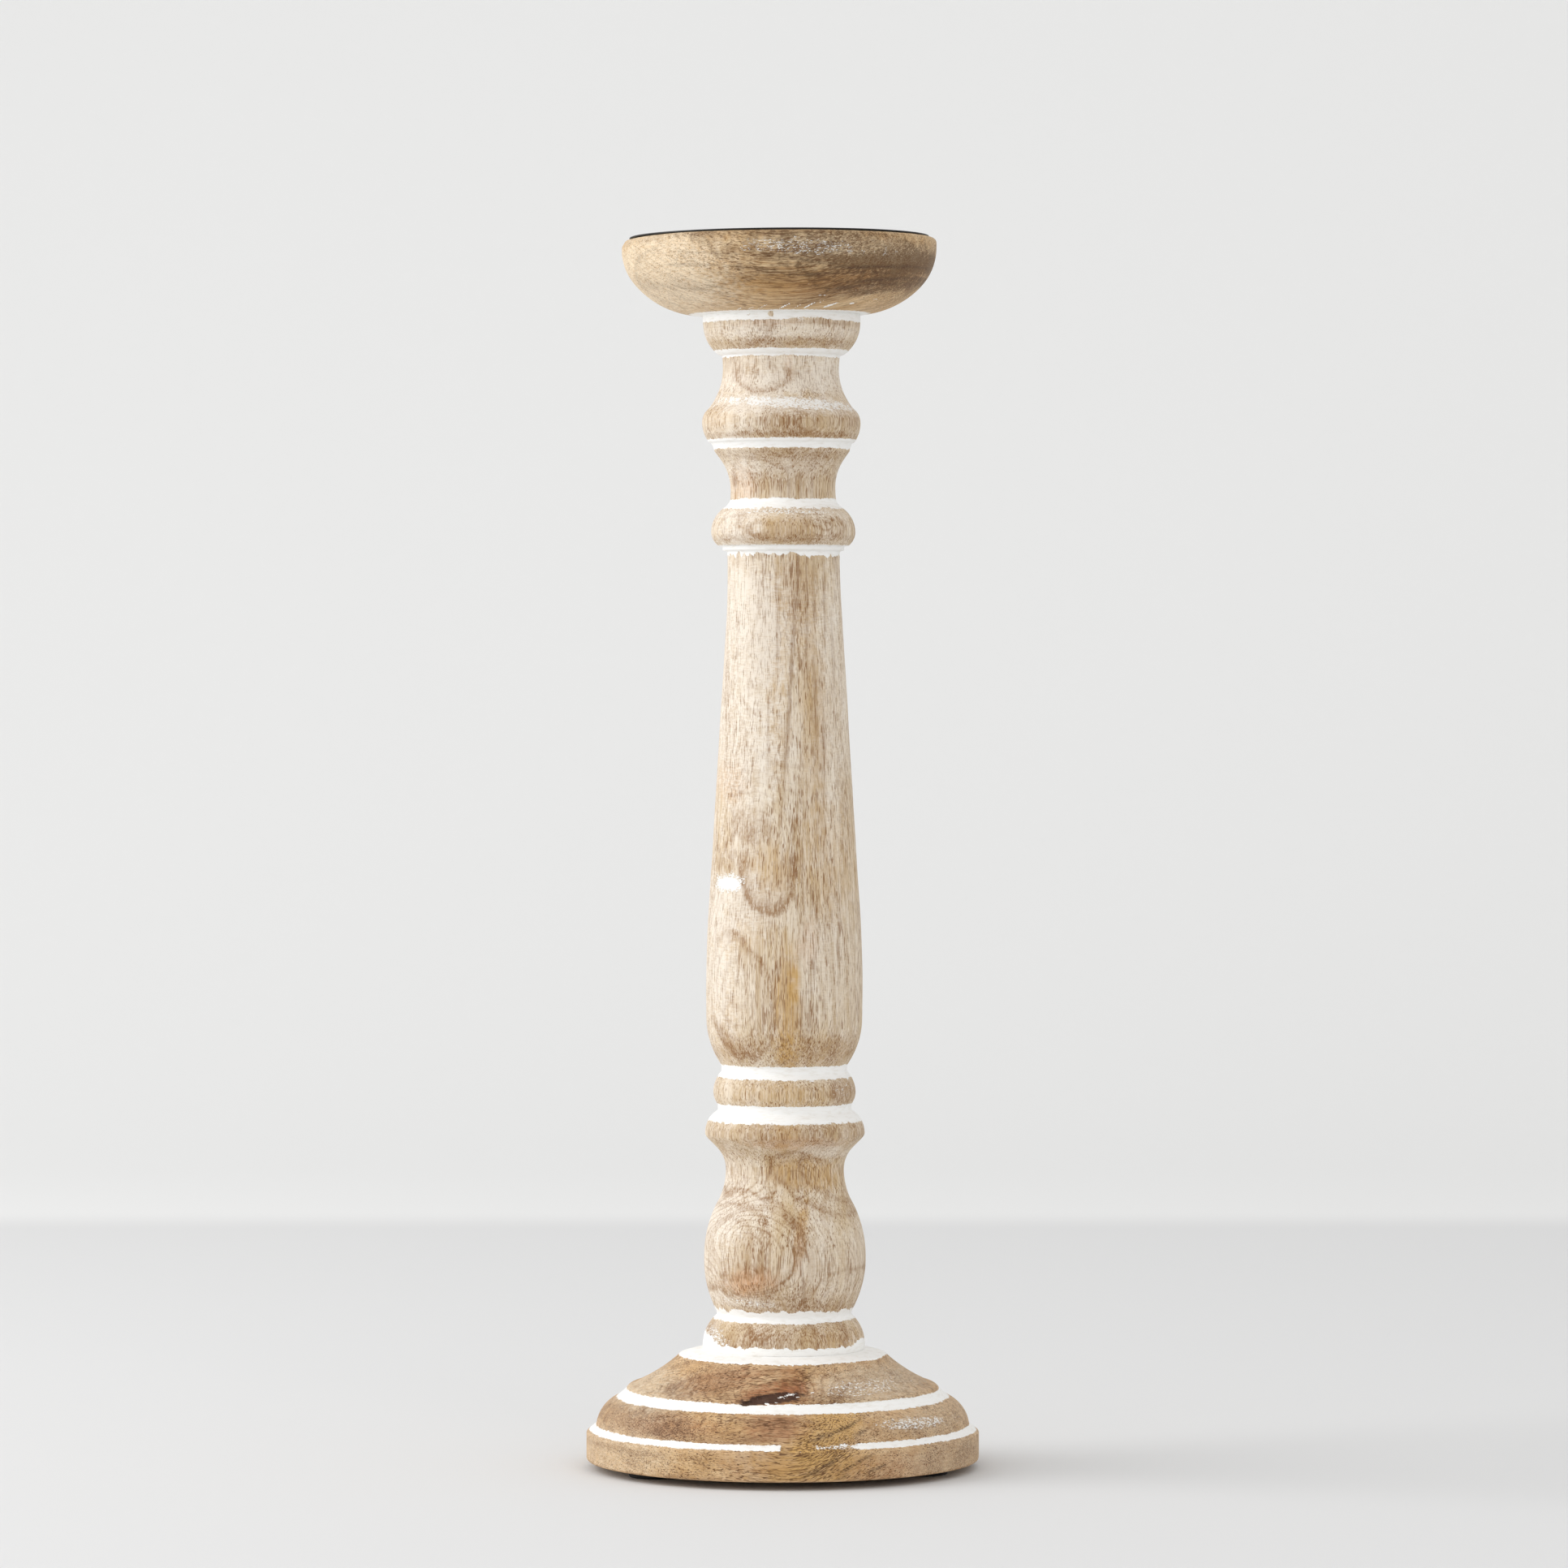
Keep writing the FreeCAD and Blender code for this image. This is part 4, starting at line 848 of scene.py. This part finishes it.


# The three woods. Colours first, then: how dark the pores, growth lines, stains and painted shade go,
# the noise level at which pores open (lower opens more) and their length in mm, how far the wood is
# bleached, how many more pores amber wood has, and the strength of the growth lines. rise and
# lift slant the grain across the front, and brush_rise slants the brush marks.
COLUMN_WOOD = {
    "pale": srgb(231, 217, 196), "tan": srgb(192, 166, 130), "gold": srgb(208, 182, 138),
    "amber": srgb(200, 160, 98), "rust": srgb(206, 150, 104), "brown": srgb(152, 113, 70),
    "pore": srgb(136, 94, 52), "crack": srgb(126, 84, 46), "chalk": srgb(240, 231, 218),
    "pore_depth": 0.84, "dark_depth": 0.8, "open_at": 0.595, "pore_length": 5.0, "bleach": 0.35,
    "amber_pores": 0, "lines": 0.38, "brush_rise": 0,
}
BASE_WOOD = {
    "pale": srgb(218, 187, 147), "tan": srgb(176, 138, 98), "gold": srgb(198, 160, 114),
    "amber": srgb(210, 168, 102), "rust": srgb(164, 106, 68), "brown": srgb(124, 86, 54),
    "pore": srgb(92, 58, 30), "crack": srgb(48, 22, 14), "chalk": srgb(222, 207, 182),
    "pore_depth": 0.9, "dark_depth": 0.66, "open_at": 0.605, "pore_length": 3.0, "bleach": 0.12,
    "amber_pores": 0.05, "lines": 0.45, "rise": 0.08, "lift": 13, "brush_rise": 0,
}
DISH_WOOD = {
    "pale": srgb(224, 195, 153), "tan": srgb(184, 146, 100), "gold": srgb(204, 164, 110),
    "amber": srgb(184, 137, 76), "rust": srgb(146, 99, 55), "brown": srgb(96, 72, 43),
    "pore": srgb(98, 62, 30), "crack": srgb(60, 40, 28), "chalk": srgb(240, 223, 196),
    "pore_depth": 0.78, "dark_depth": 0.8, "open_at": 0.60, "pore_length": 4.5, "bleach": 0.1,
    "amber_pores": 0, "lines": 0.35, "rise": 0, "lift": 3, "brush_rise": 0.12,
}


def coated_steel():
    """Satin black powder coat."""
    n = Nodes("black_steel")
    where = n.place()
    peel = n.noise(n.scaled(where, 1.8), 3)
    black = n.mix(n.step(peel, 0.3, 0.7), srgb(14, 14, 15), srgb(22, 21, 20))
    n.put(n.shader.inputs["Base Color"], black)
    n.put(n.shader.inputs["Roughness"], n.step(peel, 0.3, 0.7, 0.48, 0.6))
    n.relief(peel, 0.25, MM * 0.2)
    return n.material


def zinc_steel():
    """Zinc-plated screw steel with a faint drawn grain."""
    n = Nodes("zinc_steel")
    where = n.place()
    drawn = n.noise(n.scaled(where, (3, 3, 0.4)), 3)
    n.put(n.shader.inputs["Base Color"], n.mix(drawn, srgb(176, 174, 168), srgb(210, 208, 202)))
    n.shader.inputs["Metallic"].default_value = 1.0
    n.put(n.shader.inputs["Roughness"], n.step(drawn, 0.3, 0.7, 0.28, 0.45))
    return n.material


def soft_rubber():
    """Matt black rubber with a fine pebbled skin."""
    n = Nodes("pad_rubber")
    where = n.place()
    pebble = n.noise(n.scaled(where, 2.5), 2)
    n.put(n.shader.inputs["Base Color"], n.mix(pebble, srgb(22, 22, 23), srgb(36, 35, 34)))
    n.shader.inputs["Roughness"].default_value = 0.8
    n.relief(pebble, 0.4, MM * 0.2)
    return n.material


# ---- the pieces --------------------------------------------------------------------------------

TENON_RADIUS = 10.5


def finish_piece(piece, body, node, material):
    """Gives a piece its material, hangs it from its body's empty, and hides the CAD node it replaces."""
    piece.data.materials.append(material)
    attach(piece, body)
    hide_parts(node)


def build():
    """Makes the turned pieces, and gives the CAD pieces that stay their materials."""
    column = lathe("turned_column", "column", shape_column, 200, 0.82, TENON_RADIUS)
    finish_piece(column, "stand", "column", wood("column_wood", "Z", COLUMN_WOOD))
    base = lathe("turned_base", "base", shape_base, 400, 0.5, TENON_RADIUS)
    finish_piece(base, "stand", "base", wood("base_wood", "X", BASE_WOOD))
    dish = lathe("turned_dish", "candle_dish", shape_dish, 360, 0.6, TENON_RADIUS)
    finish_piece(dish, "stand", "candle_dish", wood("dish_wood", "X", DISH_WOOD))
    tray = lathe("pressed_tray", "wax_tray", shape_tray, 300, 0.8, 0)
    finish_piece(tray, "tray", "wax_tray", coated_steel())
    steel, rubber = zinc_steel(), soft_rubber()
    for label, material in (
        ("base_screw", steel), ("base_washer", steel), ("dish_screw", steel),
        ("foot_pad_1", rubber), ("foot_pad_2", rubber), ("foot_pad_3", rubber),
    ):
        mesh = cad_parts[label].data
        mesh.materials.clear()
        mesh.materials.append(material)


# The backdrop, in metres: where the floor's colour ends, where it starts to bend up and how wide
# the bend is, and how far it reaches towards the camera, up and to each side.
FLOOR_END = 0.9
BEND_START = 1.2
BEND_RADIUS = 1.6
BEND_STEPS = 24
FLOOR_FRONT = -3.0
WALL_TOP = 6.0
HALF_WIDTH = 5.0
FLOOR_GREY = (0.74, 0.74, 0.74)
WALL_LOW_GREY = (0.835, 0.835, 0.83)
WALL_HIGH_GREY = (0.875, 0.875, 0.868)


def backdrop():
    """A pale floor and a slightly paler sweep behind it, meeting at a soft line."""
    profile = [(FLOOR_FRONT, 0.0), (BEND_START, 0.0)]
    for i in range(1, BEND_STEPS + 1):
        angle = math.radians(90 * i / BEND_STEPS)
        back = BEND_START + BEND_RADIUS * math.sin(angle)
        profile.append((back, BEND_RADIUS * (1 - math.cos(angle))))
    profile.append((BEND_START + BEND_RADIUS, WALL_TOP))
    points = [(x, y, z) for y, z in profile for x in (-HALF_WIDTH, HALF_WIDTH)]
    faces = [(2 * i, 2 * i + 1, 2 * i + 3, 2 * i + 2) for i in range(len(profile) - 1)]
    mesh = bpy.data.meshes.new("backdrop")
    mesh.from_pydata(points, [], faces)
    mesh.shade_smooth()
    paper = Nodes("backdrop")
    depth = paper.split(paper.add("ShaderNodeTexCoord").outputs["Object"])[1]
    wall = paper.mix(paper.step(depth, 1.0, 2.6), WALL_LOW_GREY, WALL_HIGH_GREY)
    floor = paper.mix(paper.step(depth, FLOOR_END - 0.05, FLOOR_END + 0.05), FLOOR_GREY, wall)
    paper.put(paper.shader.inputs["Base Color"], floor)
    paper.shader.inputs["Roughness"].default_value = 0.9
    paper.shader.inputs["Specular IOR Level"].default_value = 0.1
    mesh.materials.append(paper.material)
    sweep = bpy.data.objects.new("backdrop", mesh)
    bpy.context.scene.collection.objects.link(sweep)


def area_light(name, place, target, size, power):
    """A soft white lamp at place, turned to target, size metres across and high."""
    light = bpy.data.lights.new(name, "AREA")
    light.shape = "RECTANGLE"
    light.size, light.size_y = size
    light.energy = power
    lamp = bpy.data.objects.new(name, light)
    lamp.location = place
    lamp.rotation_euler = (Vector(target) - Vector(place)).to_track_quat("-Z", "Y").to_euler()
    bpy.context.scene.collection.objects.link(lamp)


def studio():
    """White surroundings, a large window to the left and a weaker fill from the front right."""
    world = bpy.data.worlds.new("studio")
    world.use_nodes = True
    sky = world.node_tree.nodes["Background"]
    sky.inputs["Color"].default_value = (1, 1, 1, 1)
    sky.inputs["Strength"].default_value = 0.80
    bpy.context.scene.world = world
    area_light("window", (-1.7, -0.1, 1.0), (0, 0, 0.25), (1.4, 2.0), 24)
    area_light("fill", (0.6, -2.4, 1.2), (0, 0, 0.2), (1.8, 1.4), 8)
    bpy.context.scene.view_settings.view_transform = "Standard"


def camera():
    """A long lens straight in front, pitched a little down."""
    data = bpy.data.cameras.new("camera")
    data.lens = CAMERA_LENS
    data.sensor_width = 36
    data.clip_start, data.clip_end = 0.05, 50
    eye = bpy.data.objects.new("camera", data)
    eye.location = (CAMERA_SIDE, -CAMERA_DISTANCE, CAMERA_HEIGHT)
    eye.rotation_euler = (math.pi / 2 - CAMERA_PITCH, 0, 0)
    bpy.context.scene.collection.objects.link(eye)
    bpy.context.scene.camera = eye


build()
backdrop()
studio()
camera()
